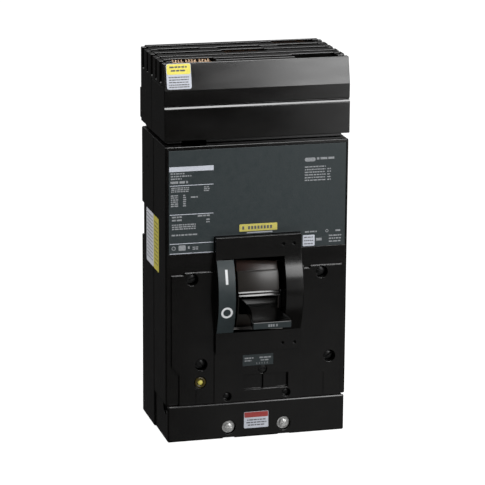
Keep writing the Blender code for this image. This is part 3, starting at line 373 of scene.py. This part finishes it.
def piece(name, bm, material, body="case", smooth=True):
    """A mesh piece that rides on a body, with the finish it is given."""
    mesh = bpy.data.meshes.new(name)
    bm.to_mesh(mesh)
    bm.free()
    mesh.materials.append(material)
    if smooth:
        mesh.shade_smooth()
        mesh.set_sharp_from_angle(angle=SHARP_ANGLE)
    obj = bpy.data.objects.new(name, mesh)
    bpy.context.scene.collection.objects.link(obj)
    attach(obj, body)
    return obj


def slot_of(node):
    """The slot that a CAD node takes its finish from."""
    return frame["nodes"][node].data.materials[0].name.split(".")[0]


def free_length(edge):
    """The shortest edge that leaves an edge's ends in another direction."""
    line = (edge.verts[1].co - edge.verts[0].co).normalized()
    lengths = [math.inf]
    for vert in edge.verts:
        for other in vert.link_edges:
            if other == edge:
                continue
            heading = (other.other_vert(vert).co - vert.co)
            if abs(heading.normalized().dot(line)) < 0.9:
                lengths.append(heading.length)
    return min(lengths)


def refined(node, radius, material=None, segments=3):
    """Stands for a CAD node: its own shape, welded, with each sharp edge rounded as far as it has room.

    Bends under CREASE_ANGLE belong to curved faces and are shaded smooth.
    """
    bm = bmesh.new()
    bm.from_mesh(frame["nodes"][node].data)
    bmesh.ops.remove_doubles(bm, verts=bm.verts, dist=WELD_DISTANCE)
    bmesh.ops.dissolve_limit(bm, angle_limit=FLAT_ANGLE, verts=bm.verts, edges=bm.edges)
    weights = bm.edges.layers.float.new("bevel_weight_edge")
    for edge in bm.edges:
        bend = edge.calc_face_angle(0.0) if len(edge.link_faces) == 2 else 0.0
        if bend > SHARP_ANGLE:
            edge[weights] = min(1.0, ROOM_SHARE * free_length(edge) / (radius * MM))
        edge.smooth = bend < CREASE_ANGLE or bend > SHARP_ANGLE
    mesh = bpy.data.meshes.new(node + "_skin")
    bm.to_mesh(mesh)
    bm.free()
    if "custom_normal" in mesh.attributes:
        mesh.attributes.remove(mesh.attributes["custom_normal"])
    mesh.polygons.foreach_set("use_smooth", [True] * len(mesh.polygons))
    slot = slot_of(node)
    mesh.materials.clear()
    mesh.materials.append(material or MATERIALS[slot])
    obj = bpy.data.objects.new(node + "_skin", mesh)
    bpy.context.scene.collection.objects.link(obj)
    bevel = obj.modifiers.new("edges", "BEVEL")
    bevel.limit_method = "WEIGHT"
    bevel.width = radius * MM
    bevel.segments = segments
    bevel.use_clamp_overlap = False
    bevel.harden_normals = True
    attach(obj, BODY_OF[node])
    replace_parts(obj, node)
    return obj


def cut_with(obj, cutters):
    """Cuts closed shapes out of a piece and puts the result into its mesh."""
    for cutter in cutters:
        boolean = obj.modifiers.new("cut", "BOOLEAN")
        boolean.operation = "DIFFERENCE"
        boolean.solver = "EXACT"
        boolean.object = cutter
    bpy.context.view_layer.update()
    graph = bpy.context.evaluated_depsgraph_get()
    mesh = bpy.data.meshes.new_from_object(obj.evaluated_get(graph))
    obj.modifiers.clear()
    obj.data = mesh
    mesh.shade_smooth()
    mesh.set_sharp_from_angle(angle=SHARP_ANGLE)
    for cutter in cutters:
        bpy.data.objects.remove(cutter)
    return obj


def block(name, low, high, turn=0.0):
    """A hidden cutter between two corners, turned about its own middle on the Y axis."""
    bm = bmesh.new()
    bmesh.ops.create_cube(bm, size=1.0)
    low, high = Vector(low), Vector(high)
    middle = spot(*((low + high) / 2))
    stretch = Matrix.Diagonal((*(high - low) * MM, 1.0))
    bm.transform(Matrix.Translation(middle) @ Matrix.Rotation(turn, 4, "Y") @ stretch)
    mesh = bpy.data.meshes.new(name)
    bm.to_mesh(mesh)
    bm.free()
    obj = bpy.data.objects.new(name, mesh)
    bpy.context.scene.collection.objects.link(obj)
    return obj


def lathe(profile, x, z, sides=64):
    """(radius, y) points turned about an axis along Y."""
    bm = bmesh.new()
    points = [bm.verts.new(spot(x + radius, y, z)) for radius, y in profile]
    edges = [bm.edges.new(pair) for pair in zip(points, points[1:])]
    bmesh.ops.spin(bm, geom=points + edges, cent=spot(x, 0, z), axis=(0, 1, 0), angle=2 * math.pi,
                   steps=sides, use_merge=True, use_duplicate=False)
    bmesh.ops.remove_doubles(bm, verts=bm.verts, dist=WELD_DISTANCE)
    bmesh.ops.recalc_face_normals(bm, faces=bm.faces)
    return bm


def rounded_corner(radius, y, size, steps=4):
    """Points of a head's front edge, from its face round to its side."""
    points = []
    for index in range(steps + 1):
        angle = math.radians(90.0 * index / steps)
        points.append((radius - size + size * math.sin(angle), y + size - size * math.cos(angle)))
    return points


# Fasteners and controls

def make_screw(node, head, sink, shank_radius, slot_width, turn, finish):
    """A crowned slotted screw of a head radius, sunk by some millimetres, in place of the CAD one."""
    low, high = extent(node)
    x = (low.x + high.x) / 2
    z = (low.z + high.z) / 2
    face = low.y + sink
    crown = 0.22 * head
    profile = [(0.0, face), (head * 0.45, face + 0.1 * crown), (head * 0.75, face + 0.4 * crown)]
    profile += rounded_corner(head, face + 0.8 * crown, 0.25)
    under = face + crown + 0.45 * head
    flange = (high.x - low.x) / 2
    profile += [
        (head, under), (flange, under + 0.1), (flange, under + 0.8), (shank_radius, under + 0.8),
        (shank_radius, high.y - 1.0), (shank_radius * 0.6, high.y), (0.0, high.y),
    ]
    screw = piece(node + "_turned", lathe(profile, x, z), finish, BODY_OF[node])
    half = slot_width / 2
    deep = face + crown + 0.7
    slot = block("slot", (x - head - 1, face - 1, z - half), (x + head + 1, deep, z + half), turn)
    cut_with(screw, [slot])
    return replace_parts(screw, node)


def make_fasteners():
    """The slotted screws, each with its slot turned its own way."""
    turns = {"upper_left": -0.35, "upper_right": 0.5, "lower_left": 0.9, "lower_right": -0.6}
    for label, turn in turns.items():
        make_screw("cover_screw_" + label, 3.5, 0.6, 2.1, 1.1, turn, BLACK_STEEL)
    for label, turn in (("left", 0.3), ("right", -0.9)):
        make_screw("load_cover_screw_" + label, 2.2, 1.2, 1.6, 0.7, turn, BLACK_STEEL)
    for label, turn in (("left", 0.15), ("right", -0.25)):
        make_screw("mounting_screw_" + label, 3.1, 1.0, 2.1, 1.0, turn, MATERIALS["zinc_steel"])


def make_trip_button():
    """A dark amber push button with a bright yellow centre."""
    low, high = extent("trip_button")
    x = (low.x + high.x) / 2
    z = (low.z + high.z) / 2
    face = low.y
    rim = 4.4
    dish = 2.3
    profile = [(0.0, face + 1.4), (dish, face + 1.4), (dish + 0.2, face + 0.5), (dish + 0.5, face + 0.25)]
    profile += rounded_corner(rim, face + 0.1, 0.7)
    profile += [
        (rim, face + 7.0), (6.4, face + 7.0), (6.4, face + 8.6),
        (2.5, face + 8.6), (2.5, high.y), (0.0, high.y),
    ]
    button = piece("trip_button_turned", lathe(profile, x, z), AMBER, "trip_button")
    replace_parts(button, "trip_button")
    dome = [(0.0, face), (0.9, face + 0.08), (1.6, face + 0.35), (dish - 0.2, face + 0.9),
            (dish - 0.1, face + 1.6), (0.0, face + 1.6)]
    piece("trip_button_center", lathe(dome, x, z), MATERIALS["yellow_plastic"],
          "trip_button")


def make_trip_spring():
    """The button's return spring, in a mesh of its own. The real spring shortens towards the button as it is
    pressed.
    """
    spring = refined("trip_button_spring", INNER_RADIUS, segments=2)
    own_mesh(spring)


def make_adjuster_knob():
    """A small dial with a cross slot and a notch that points at its setting."""
    low, high = extent("adjuster_knob")
    x = (low.x + high.x) / 2
    z = (low.z + high.z) / 2
    face = low.y
    rim = 3.3
    profile = [(0.0, face), *rounded_corner(rim, face, 0.4), (rim, face + 5.7), (5.2, face + 5.7),
               (5.2, face + 7.3), (2.0, face + 7.3), (2.0, high.y), (0.0, high.y)]
    knob = piece("adjuster_knob_turned", lathe(profile, x, z), BLACK_STEEL,
                 "adjuster_knob")
    slot = block("slot", (x - 2.5, face - 1, z - 0.5), (x + 2.5, face + 1.4, z + 0.5))
    notch = block("notch", (x - 4.0, face - 1, z - 0.3), (x - 2.6, face + 0.8, z + 0.3))
    cut_with(knob, [slot, notch])
    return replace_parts(knob, "adjuster_knob")


# Printing and stickers. It is all plain bars and blocks, with no lettering.

def plane(origin, across, up):
    """Maps (across, up, out) on a flat face to a point."""
    origin, across, up = Vector(origin), Vector(across).normalized(), Vector(up).normalized()
    out = across.cross(up)

    def place(u, v, w):
        return spot(*(origin + across * u + up * v + out * w))

    return place


def circle(u, v, radius, steps=16):
    angles = [2 * math.pi * index / steps for index in range(steps)]
    return [(u + radius * math.cos(angle), v + radius * math.sin(angle)) for angle in angles]


def rectangle(u_low, u_high, v_low, v_high):
    return [(u_low, v_low), (u_high, v_low), (u_high, v_high), (u_low, v_high)]


def rounded_rectangle(u_low, u_high, v_low, v_high, radius, steps=5):
    points = []
    corners = (
        (u_high - radius, v_high - radius, 0.0), (u_low + radius, v_high - radius, 90.0),
        (u_low + radius, v_low + radius, 180.0), (u_high - radius, v_low + radius, 270.0),
    )
    for u, v, start in corners:
        for index in range(steps + 1):
            angle = math.radians(start + 90.0 * index / steps)
            points.append((u + radius * math.cos(angle), v + radius * math.sin(angle)))
    return points


def ring_parts(u, v, inner, outer, steps=28):
    """A ring as short four-sided parts, which follow a curved face."""
    parts = []
    for index in range(steps):
        angles = [2 * math.pi * (index + share) / steps for share in (0, 1)]
        near = [(u + inner * math.cos(a), v + inner * math.sin(a)) for a in angles]
        far = [(u + outer * math.cos(a), v + outer * math.sin(a)) for a in reversed(angles)]
        parts.append(near + far)
    return parts


def dashes(u_low, u_high, v, height, chance):
    """One printed row as plain dashes of uneven length."""
    row = []
    u = u_low
    while u < u_high - 0.4:
        end = min(u + height * chance.uniform(1.0, 3.4), u_high)
        row.append(rectangle(u, end, v - height / 2, v + height / 2))
        u = end + 0.5 * height
    return row


def prisms(name, place, outlines, low, high, material, body="case"):
    """Flat shapes on a face, as one mesh of thin prisms between two heights above it."""
    bm = bmesh.new()
    for outline in outlines:
        bottom = [bm.verts.new(place(u, v, low)) for u, v in outline]
        top = [bm.verts.new(place(u, v, high)) for u, v in outline]
        bm.faces.new(top)
        bm.faces.new(list(reversed(bottom)))
        for index, point in enumerate(bottom):
            after = (index + 1) % len(bottom)
            bm.faces.new((point, bottom[after], top[after], top[index]))
    bmesh.ops.recalc_face_normals(bm, faces=bm.faces)
    return piece(name, bm, material, body, smooth=False)


def ink(name, place, outlines, material=WHITE_INK, body="case", high=INK_HIGH):
    return prisms(name, place, outlines, INK_LOW, high, material, body)


def printed_rows(rows, chance, right_edge=None):
    """Dashes for (left, right, depths, height) rows, whose ends may be measured from a right edge."""
    found = []
    for low, high, depths, height in rows:
        if right_edge is not None:
            low, high = right_edge - low, right_edge - high
        for depth in depths:
            found += dashes(low, high, -depth, height, chance)
    return found


def make_nameplate_print():
    """Rules, rows and blocks on the nameplate, placed from its top left corner, downwards."""
    chance = random.Random(7)
    low, high = extent("nameplate")
    width = high.x - low.x
    place = plane((low.x, low.y, high.z), (1, 0, 0), (0, 0, 1))
    column = extent("escutcheon")[0].x - low.x - 0.8

    strip = rectangle(0.4, column, -17.0, -13.1)
    rules = [rectangle(0.7, column, -depth - 0.25, -depth + 0.25) for depth in LEFT_RULES]
    ink("nameplate_strip", place, [strip, *rules], WHITE_VINYL)
    ink("nameplate_rows_left", place, printed_rows(LEFT_ROWS, chance))

    marks = ring_parts(3.9, -79.6, 1.1, 1.7, 20)
    marks += [rounded_rectangle(7.9, 13.7, -81.7, -77.3, 0.6), rectangle(15.6, 17.0, -80.6, -78.4)]
    ink("nameplate_marks", place, marks + printed_rows(MARK_ROWS, chance))

    capsule = rounded_rectangle(width - 34.5, width - 25.6, -14.2, -11.0, 1.4)
    right = [capsule, *ring_parts(width - 15.2, -72.3, 0.8, 1.3, 18)]
    ink("nameplate_rows_right", place, right + printed_rows(RIGHT_ROWS, chance, width))
    square = rounded_rectangle(width - 35.4, width - 25.5, -84.1, -74.9, 0.5)
    prisms("nameplate_square", place, [square], INK_LOW, STICKER_HIGH, WHITE_VINYL)
    prisms("nameplate_square_print", place, printed_rows(SQUARE_ROWS, chance, width),
           INK_LOW, STICKER_HIGH + PRINT_RISE, GRAY_INK)


def make_badge():
    """The yellow badge across the foot of the nameplate, with plain blocks and a line under it."""
    low, high = extent("nameplate")
    place = plane((low.x, low.y, high.z), (1, 0, 0), (0, 0, 1))
    middle = -low.x + 0.8
    badge = rounded_rectangle(middle - 15.7, middle + 15.7, -68.8, -62.9, 0.5)
    prisms("rating_badge", place, [badge], INK_LOW, 0.35, MATERIALS["yellow_plastic"])
    blocks = [rectangle(middle + start, middle + start + 1.7, -67.2, -64.6) for start in BADGE_STARTS]
    prisms("badge_blocks", place, blocks, 0.3, 0.4, GRAY_INK)
    line = rectangle(middle - 9.5, middle + 11.8, -70.5, -69.6)
    prisms("badge_line", place, [line], INK_LOW, INK_HIGH, WHITE_VINYL)


def handle_axis():
    """The handle's axis in the breaker's own millimetres."""
    joint = next(joint for joint in frame["joints"] if joint["name"] == "handle_toggle")
    x, y, z = joint["pos_m"]
    return Vector((x, y - BACK, z)) / MM


def handle_place(radius):
    """Maps (across, up, out) about the handle's end at rest, at a distance from its axis."""
    forward = Vector((0.0, -math.cos(HANDLE_OFF_ANGLE), -math.sin(HANDLE_OFF_ANGLE)))
    up = Vector((0.0, -math.sin(HANDLE_OFF_ANGLE), math.cos(HANDLE_OFF_ANGLE)))
    return plane(handle_axis() + forward * radius, (1, 0, 0), up)


def straight_value(points, at):
    """A value on the straight lines through (place, value) points."""
    for (first, low), (second, high) in zip(points, points[1:]):
        if at <= second:
            return low + (high - low) * (at - first) / (second - first)
    return points[-1][1]


def eased_value(points, at):
    """A value on the smooth curve through (place, value) points."""
    index = 0
    while index < len(points) - 2 and at > points[index + 1][0]:
        index += 1
    last = len(points) - 1
    before, start, end, after = (points[min(max(index + step, 0), last)] for step in (-1, 0, 1, 2))
    share = (at - start[0]) / (end[0] - start[0])
    rise_in = (end[1] - before[1]) / (end[0] - before[0]) * (end[0] - start[0])
    rise_out = (after[1] - start[1]) / (after[0] - start[0]) * (end[0] - start[0])
    square, cube = share ** 2, share ** 3
    return ((2 * cube - 3 * square + 1) * start[1] + (cube - 2 * square + share) * rise_in
            + (3 * square - 2 * cube) * end[1] + (cube - square) * rise_out)


def arc_prism(name, outline, half_width, material, radius=0.3):
    """An outline of (distance from the handle's axis, degrees above forward), made wide across X."""
    place = handle_place(0.0)
    bm = bmesh.new()
    sides = []
    for x in (-half_width, half_width):
        ring = []
        for distance, degrees in outline:
            angle = math.radians(degrees)
            ring.append(bm.verts.new(place(x, distance * math.sin(angle), distance * math.cos(angle))))
        sides.append(ring)
    bar_between(bm, *sides)
    bmesh.ops.recalc_face_normals(bm, faces=bm.faces)
    sharp = [edge for edge in bm.edges if edge.calc_face_angle(0.0) > SHARP_ANGLE]
    bmesh.ops.bevel(bm, geom=sharp, offset=radius * MM, segments=2, profile=0.5, affect="EDGES",
                    clamp_overlap=True)
    return piece(name, bm, material, "handle")


def degrees_between(first, last, steps):
    return [first + (last - first) * index / steps for index in range(steps + 1)]


def band(inner, outer, low, high, steps=40):
    """An outline for arc_prism, between two distances and two angles."""
    return ([(outer, degrees) for degrees in degrees_between(low, high, steps)]
            + [(inner, degrees) for degrees in degrees_between(high, low, steps)])


def make_grip():
    """The waisted grip, as rounded sections along its length, with a steep facet at its root."""
    place = handle_place(0.0)
    near_edges = {0.3, GRIP_CREASE - 0.2, GRIP_CREASE + 0.2, GRIP_LENGTH - 0.4}
    steps = sorted(set(range(GRIP_LENGTH + 1)) | near_edges)
    bm = bmesh.new()
    rings = []
    for along in steps:
        width = eased_value(GRIP_HALF_WIDTHS, along)
        top = straight_value(GRIP_TOPS, along)
        foot = straight_value(GRIP_FEET, along)
        at_front = along == GRIP_LENGTH
        corner = 0.7 if at_front else 1.0
        shrink = 0.3 if at_front else 0.0
        width -= shrink
        outline = rounded_rectangle(-width, width, foot + shrink, top - shrink, corner, 4)
        rings.append([bm.verts.new(place(u, v, GRIP_ROOT + along)) for u, v in outline])
    for first, second in zip(rings, rings[1:]):
        for index, point in enumerate(first):
            after = (index + 1) % len(first)
            bm.faces.new((point, first[after], second[after], second[index]))
    bm.faces.new(rings[-1])
    bm.faces.new(list(reversed(rings[0])))
    bmesh.ops.recalc_face_normals(bm, faces=bm.faces)
    # the grip's darker copy of the gloss is painted shade
    return piece("handle_grip", bm, GRIP_SHADED_GLOSS, "handle")


def make_handle():
    """The curved guard with its browned upper band, the two lips over the grip, and the grip."""
    gloss = MATERIALS["black_gloss"]
    guard = arc_prism("handle_guard", band(*GUARD_RADII, *GUARD_DEGREES), GUARD_HALF_WIDTH, WARM_GUARD)
    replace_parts(guard, "handle")
    upper = band(*UPPER_BAND_RADII, *UPPER_BAND_DEGREES, 16)
    arc_prism("handle_upper_band", upper, GUARD_HALF_WIDTH, BROWNED)
    for label, (degrees, reach) in LIPS.items():
        under, edge, top = degrees - 0.9, degrees - 0.6, degrees + 0.6
        lip = [(LIP_FOOT, under), (reach, under), (reach, edge), (reach - 1.2, top), (LIP_FOOT, top)]
        arc_prism("handle_lip_" + label, lip, GUARD_HALF_WIDTH - 0.1, gloss, 0.12)
    arc_prism("handle_seat", band(*SEAT_RADII, *SEAT_DEGREES, 10), SEAT_HALF_WIDTH, gloss)
    make_grip()


def make_jaw_tips(label):
    """The flared, serrated ends of a jaw's two rows of fingers."""
    low, high = extent("line_jaw_" + label)
    middle = (low.x + high.x) / 2
    top = high.z
    bm = bmesh.new()
    for side in (-1, 1):
        for finger in JAW_FINGERS:
            for index in range(TEETH):
                x = middle + finger + (index - TEETH / 2 + 0.5) * TOOTH_PITCH
                peak = top + JAW_TIP_RISE[label] - (TOOTH_NOTCH if index % 2 else 0.0)
                section = [(3.7, top - 3.0), (5.5, top - 3.0), (6.3, peak), (5.5, peak + 0.3)]
                near, far = (
                    [bm.verts.new(spot(across, JAW_SLOT_Y[label] + side * y, z)) for y, z in section]
                    for across in (x - TOOTH_HALF_WIDTH, x + TOOTH_HALF_WIDTH)
                )
                bar_between(bm, near, far)
    bmesh.ops.recalc_face_normals(bm, faces=bm.faces)
    return piece("jaw_tips_" + label, bm, PALE_COPPER, smooth=False)


def make_side_marks():
    """Molding pips on the base and witness ridges on the line end's sides."""
    thermoset = MATERIALS["black_thermoset"]
    for label, side in (("left", -1), ("right", 1)):
        wall = plane((side * extent("base")[1].x, 0, 0), (0, side, 0), (0, 0, 1))
        pips = [circle(side * y, z, PIP_RADIUS) for y, z in PIPS]
        prisms("side_pips_" + label, wall, pips, INK_LOW, 0.25, thermoset)
        wall = plane((side * extent("line_end_cover")[1].x, 0, 0), (0, side, 0), (0, 0, 1))
        ridges = [
            [(side * back, back_z - RIDGE_HALF_HEIGHT), (side * front, front_z - RIDGE_HALF_HEIGHT),
             (side * front, front_z + RIDGE_HALF_HEIGHT), (side * back, back_z + RIDGE_HALF_HEIGHT)]
            for (back, back_z), (front, front_z) in RIDGES
        ]
        prisms("head_ridges_" + label, wall, ridges, INK_LOW, 0.15, thermoset)


def make_slot_sill():
    """The sloping sill along the bottom of the handle's slot, in a light grey that paints the highlight its ledge
    catches.
    """
    across = plane((0, 0, 0), (0, 1, 0), (0, 0, 1))
    prisms("slot_sill", across, [SILL_SECTION], -SILL_HALF_WIDTH, SILL_HALF_WIDTH,
           PAINTED_HIGHLIGHT_SILL)


def make_handle_print():
    """The slate plate on the handle's tip, with plain bars on it."""
    place = handle_place(TIP_RADIUS)
    plate = rounded_rectangle(-15.4, 15.4, -0.9, 4.0, 0.4)
    prisms("handle_tip_plate", place, [plate], INK_LOW, 0.1, MATERIALS["slate_plate"], body="handle")
    bars = [rectangle(start, start + 1.3, 0.5, 2.7) for start in (-3.4, -1.5, 0.4, 3.0)]
    ink("handle_tip_bars", place, bars, body="handle", high=0.15)


def make_position_marks():
    """A bar for ON and a ring for OFF on the curved plate of the left cheek."""
    low, high = extent("position_plate")
    axis = handle_axis()
    middle = (low.x + high.x) / 2

    def place(u, v, w):
        angle = v / CHEEK_FACE_RADIUS
        radius = CHEEK_FACE_RADIUS + w
        return spot(middle + u, axis.y - radius * math.cos(angle), axis.z + radius * math.sin(angle))

    bar = [rectangle(-1.0, 1.0, 12.0 + 2.0 * index, 14.0 + 2.0 * index) for index in range(6)]
    ink("position_bar", place, bar, BRIGHT_INK)
    ink("position_ring", place, ring_parts(0.0, -11.6, 3.1, 4.8), BRIGHT_INK)


def make_head_sticker(chance):
    """The sticker on the slope of the line end: yellow above, white below."""
    low, high = extent("line_end_cover")
    slope = plane((low.x, low.y + 1.0, high.z - 21.0), (1, 0, 0), (0, 5, 21))
    sticker = rounded_rectangle(2.4, 22.3, 1.2, 21.4, 1.6)
    prisms("head_sticker", slope, [sticker], INK_LOW, STICKER_HIGH, WHITE_VINYL)
    top = rounded_rectangle(2.8, 21.9, 12.8, 21.0, 1.3)
    ink("head_sticker_top", slope, [top], YELLOW_VINYL, high=STICKER_HIGH + PRINT_RISE)
    lines = []
    for height in (10.6, 8.6, 6.6, 4.6, 2.9):
        lines += dashes(4.2, 20.4, height, 0.8, chance)
    lines += dashes(5.0, 19.5, 18.6, 1.3, chance) + dashes(6.0, 18.5, 15.8, 1.3, chance)
    ink("head_sticker_rows", slope, lines, GRAY_INK, high=STICKER_HIGH + 2 * PRINT_RISE)


def make_side_sticker(chance):
    """The sticker on the left side: white at the back, yellow at the front."""
    side = plane((extent("cover")[0].x, 0, 0), (0, -1, 0), (0, 0, 1))
    low, high = SIDE_STICKER_Z
    rear = rounded_rectangle(18.0, 43.8, low, high, 1.5)
    front = rounded_rectangle(44.3, 62.5, low, high, 1.5)
    prisms("side_sticker_rear", side, [rear], INK_LOW, STICKER_HIGH, SIDE_VINYL)
    prisms("side_sticker_front", side, [front], INK_LOW, STICKER_HIGH, YELLOW_VINYL)
    lines = []
    for index in range(13):
        lines += dashes(20.0, 41.5, high - 3.5 - 3.0 * index, 0.7, chance)
    for index in range(11):
        lines += dashes(47.0, 60.0, high - 5.0 - 3.4 * index, 0.8, chance)
    ink("side_sticker_rows", side, lines, GRAY_INK, high=STICKER_HIGH + PRINT_RISE)


def make_adjuster_label(chance):
    """The slate label over the adjuster, with its row of scale marks."""
    knob_low, knob_high = extent("adjuster_knob")
    front = plane((0, knob_low.y - 1.1, 0), (1, 0, 0), (0, 0, 1))
    foot = knob_high.z - 1.7
    label = rounded_rectangle(-12.0, 13.6, foot, foot + 9.3, 0.5)
    prisms("adjuster_label", front, [label], INK_LOW, 0.08, MATERIALS["slate_plate"])
    upper, lower = foot + 6.4, foot + 4.2
    marks = dashes(-10.4, -3.0, upper, 1.2, chance) + dashes(-10.4, -4.4, lower, 1.0, chance)
    marks += dashes(2.0, 11.6, upper, 1.2, chance) + dashes(3.0, 9.6, lower, 1.0, chance)
    for index in range(5):
        left = -0.4 + 2.2 * index
        marks.append(rectangle(left, left + 0.4, foot + 1.0, foot + 2.4))
    ink("adjuster_label_rows", front, marks, high=0.12)


def make_load_sticker(chance):
    """The red and white sticker between the mounting screws."""
    face = plane((0, extent("load_end_cover")[0].y, 0), (1, 0, 0), (0, 0, 1))
    sticker = rounded_rectangle(-10.6, 10.0, 7.5, 21.4, 1.0)
    top = rounded_rectangle(-10.3, 9.7, 16.6, 21.1, 0.8)
    prisms("load_sticker", face, [sticker], INK_LOW, STICKER_HIGH, WHITE_VINYL)
    ink("load_sticker_top", face, [top], RED_VINYL, high=STICKER_HIGH + PRINT_RISE)
    lines = []
    for left, right, height in ((-8.0, 7.6, 14.4), (-8.6, 8.4, 12.2), (-7.4, 6.6, 10.0)):
        lines += dashes(left, right, height, 1.0, chance)
    ink("load_sticker_rows", face, lines, GRAY_INK, high=STICKER_HIGH + PRINT_RISE)


def make_case_stickers():
    """Every sticker on the case, with one source of uneven dashes."""
    chance = random.Random(11)
    make_head_sticker(chance)
    make_side_sticker(chance)
    make_adjuster_label(chance)
    make_load_sticker(chance)


# Set

def area_light(name, place, target, size, power):
    """A soft rectangle of light that points at a target and that the camera doesn't see."""
    light = bpy.data.lights.new(name, "AREA")
    light.shape = "RECTANGLE"
    light.size, light.size_y = size
    light.energy = power
    obj = bpy.data.objects.new(name, light)
    bpy.context.scene.collection.objects.link(obj)
    obj.location = place
    obj.visible_camera = False
    obj.rotation_euler = (Vector(target) - Vector(place)).to_track_quat("-Z", "Y").to_euler()
    return obj


def make_floor():
    """A wide white floor just under the breaker."""
    bm = bmesh.new()
    bmesh.ops.create_grid(bm, x_segments=1, y_segments=1, size=14.0)
    bm.transform(Matrix.Translation((0.0, 0.0, -0.0002)))
    mesh = bpy.data.meshes.new("floor")
    bm.to_mesh(mesh)
    bm.free()
    floor = bpy.data.objects.new("floor", mesh)
    bpy.context.scene.collection.objects.link(floor)
    mesh.materials.append(bright_paper("studio_floor", 0.12, 1.0))
    floor.visible_glossy = False
    floor.visible_shadow = False
    floor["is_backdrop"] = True


def bright_paper(name, white, glow):
    """Overexposed white paper of the studio."""
    finish = Finish(name, 0.9, specular=0.0)
    cooler = (white, white, 0.98 * white)
    finish.set("Base Color", finish.blend(finish.noise(400.0), (white, white, white), cooler))
    finish.shader.inputs["Emission Color"].default_value = (1.0, 1.0, 1.0, 1.0)
    finish.shader.inputs["Emission Strength"].default_value = glow
    return finish.material


def make_backdrop():
    """A white wall all round, far outside the lights, which lights nothing."""
    bm = bmesh.new()
    bmesh.ops.create_cone(bm, cap_ends=False, segments=64, radius1=BACKDROP_RADIUS, radius2=BACKDROP_RADIUS,
                          depth=12.0)
    mesh = bpy.data.meshes.new("backdrop")
    bm.to_mesh(mesh)
    bm.free()
    backdrop = bpy.data.objects.new("backdrop", mesh)
    bpy.context.scene.collection.objects.link(backdrop)
    mesh.materials.append(bright_paper("studio_backdrop", 0.0, 1.0))
    backdrop.visible_glossy = False
    backdrop.visible_diffuse = False
    backdrop.visible_shadow = False
    backdrop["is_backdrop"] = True


def make_camera():
    """The photo's viewpoint, from a place, three angles and a lens."""
    forward = Vector((
        math.sin(CAMERA_YAW) * math.cos(CAMERA_PITCH),
        math.cos(CAMERA_YAW) * math.cos(CAMERA_PITCH),
        -math.sin(CAMERA_PITCH),
    ))
    level = Vector((math.cos(CAMERA_YAW), -math.sin(CAMERA_YAW), 0.0))
    above = level.cross(forward)
    right = level * math.cos(CAMERA_ROLL) + above * math.sin(CAMERA_ROLL)
    up = above * math.cos(CAMERA_ROLL) - level * math.sin(CAMERA_ROLL)
    data = bpy.data.cameras.new("camera")
    data.lens = CAMERA_LENS
    data.sensor_width = 36.0
    data.clip_end = 60.0
    camera = bpy.data.objects.new("camera", data)
    bpy.context.scene.collection.objects.link(camera)
    turn = Matrix((right, up, -forward)).transposed().to_4x4()
    camera.matrix_world = Matrix.Translation(CAMERA_PLACE) @ turn
    bpy.context.scene.camera = camera


def make_set():
    world = bpy.data.worlds.new("studio")
    bpy.context.scene.world = world
    world.use_nodes = True
    world.node_tree.nodes["Background"].inputs["Color"].default_value = (1.0, 1.0, 1.0, 1.0)
    world.node_tree.nodes["Background"].inputs["Strength"].default_value = WORLD_STRENGTH
    for name, (place, target, size, power) in LIGHTS.items():
        area_light(name, place, target, size, power)
    bpy.context.scene.view_settings.view_transform = "Standard"
    make_floor()
    make_backdrop()
    make_camera()


def make_breaker():
    """Every piece, first those with the CAD shapes and then the modelled and printed ones."""
    for node in frame["nodes"]:
        if node in MOLDINGS:
            refined(node, MOLDINGS[node])
        elif node.startswith("flexible_braid"):
            refined(node, INNER_RADIUS, BRAID)
        elif not node.startswith(SCREWS) and node not in REBUILT:
            refined(node, INNER_RADIUS, segments=2)
    make_handle()
    for label in ("left", "center", "right"):
        make_jaw_tips(label)
    make_side_marks()
    make_slot_sill()
    make_fasteners()
    make_trip_button()
    make_trip_spring()
    make_adjuster_knob()
    make_nameplate_print()
    make_badge()
    make_handle_print()
    make_position_marks()
    make_case_stickers()


make_set()
make_breaker()

sizes = {"cad": CAD_BOX, "visual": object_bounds()}
sizes = {name: [[round(value, 6) for value in corner] for corner in box] for name, box in sizes.items()}
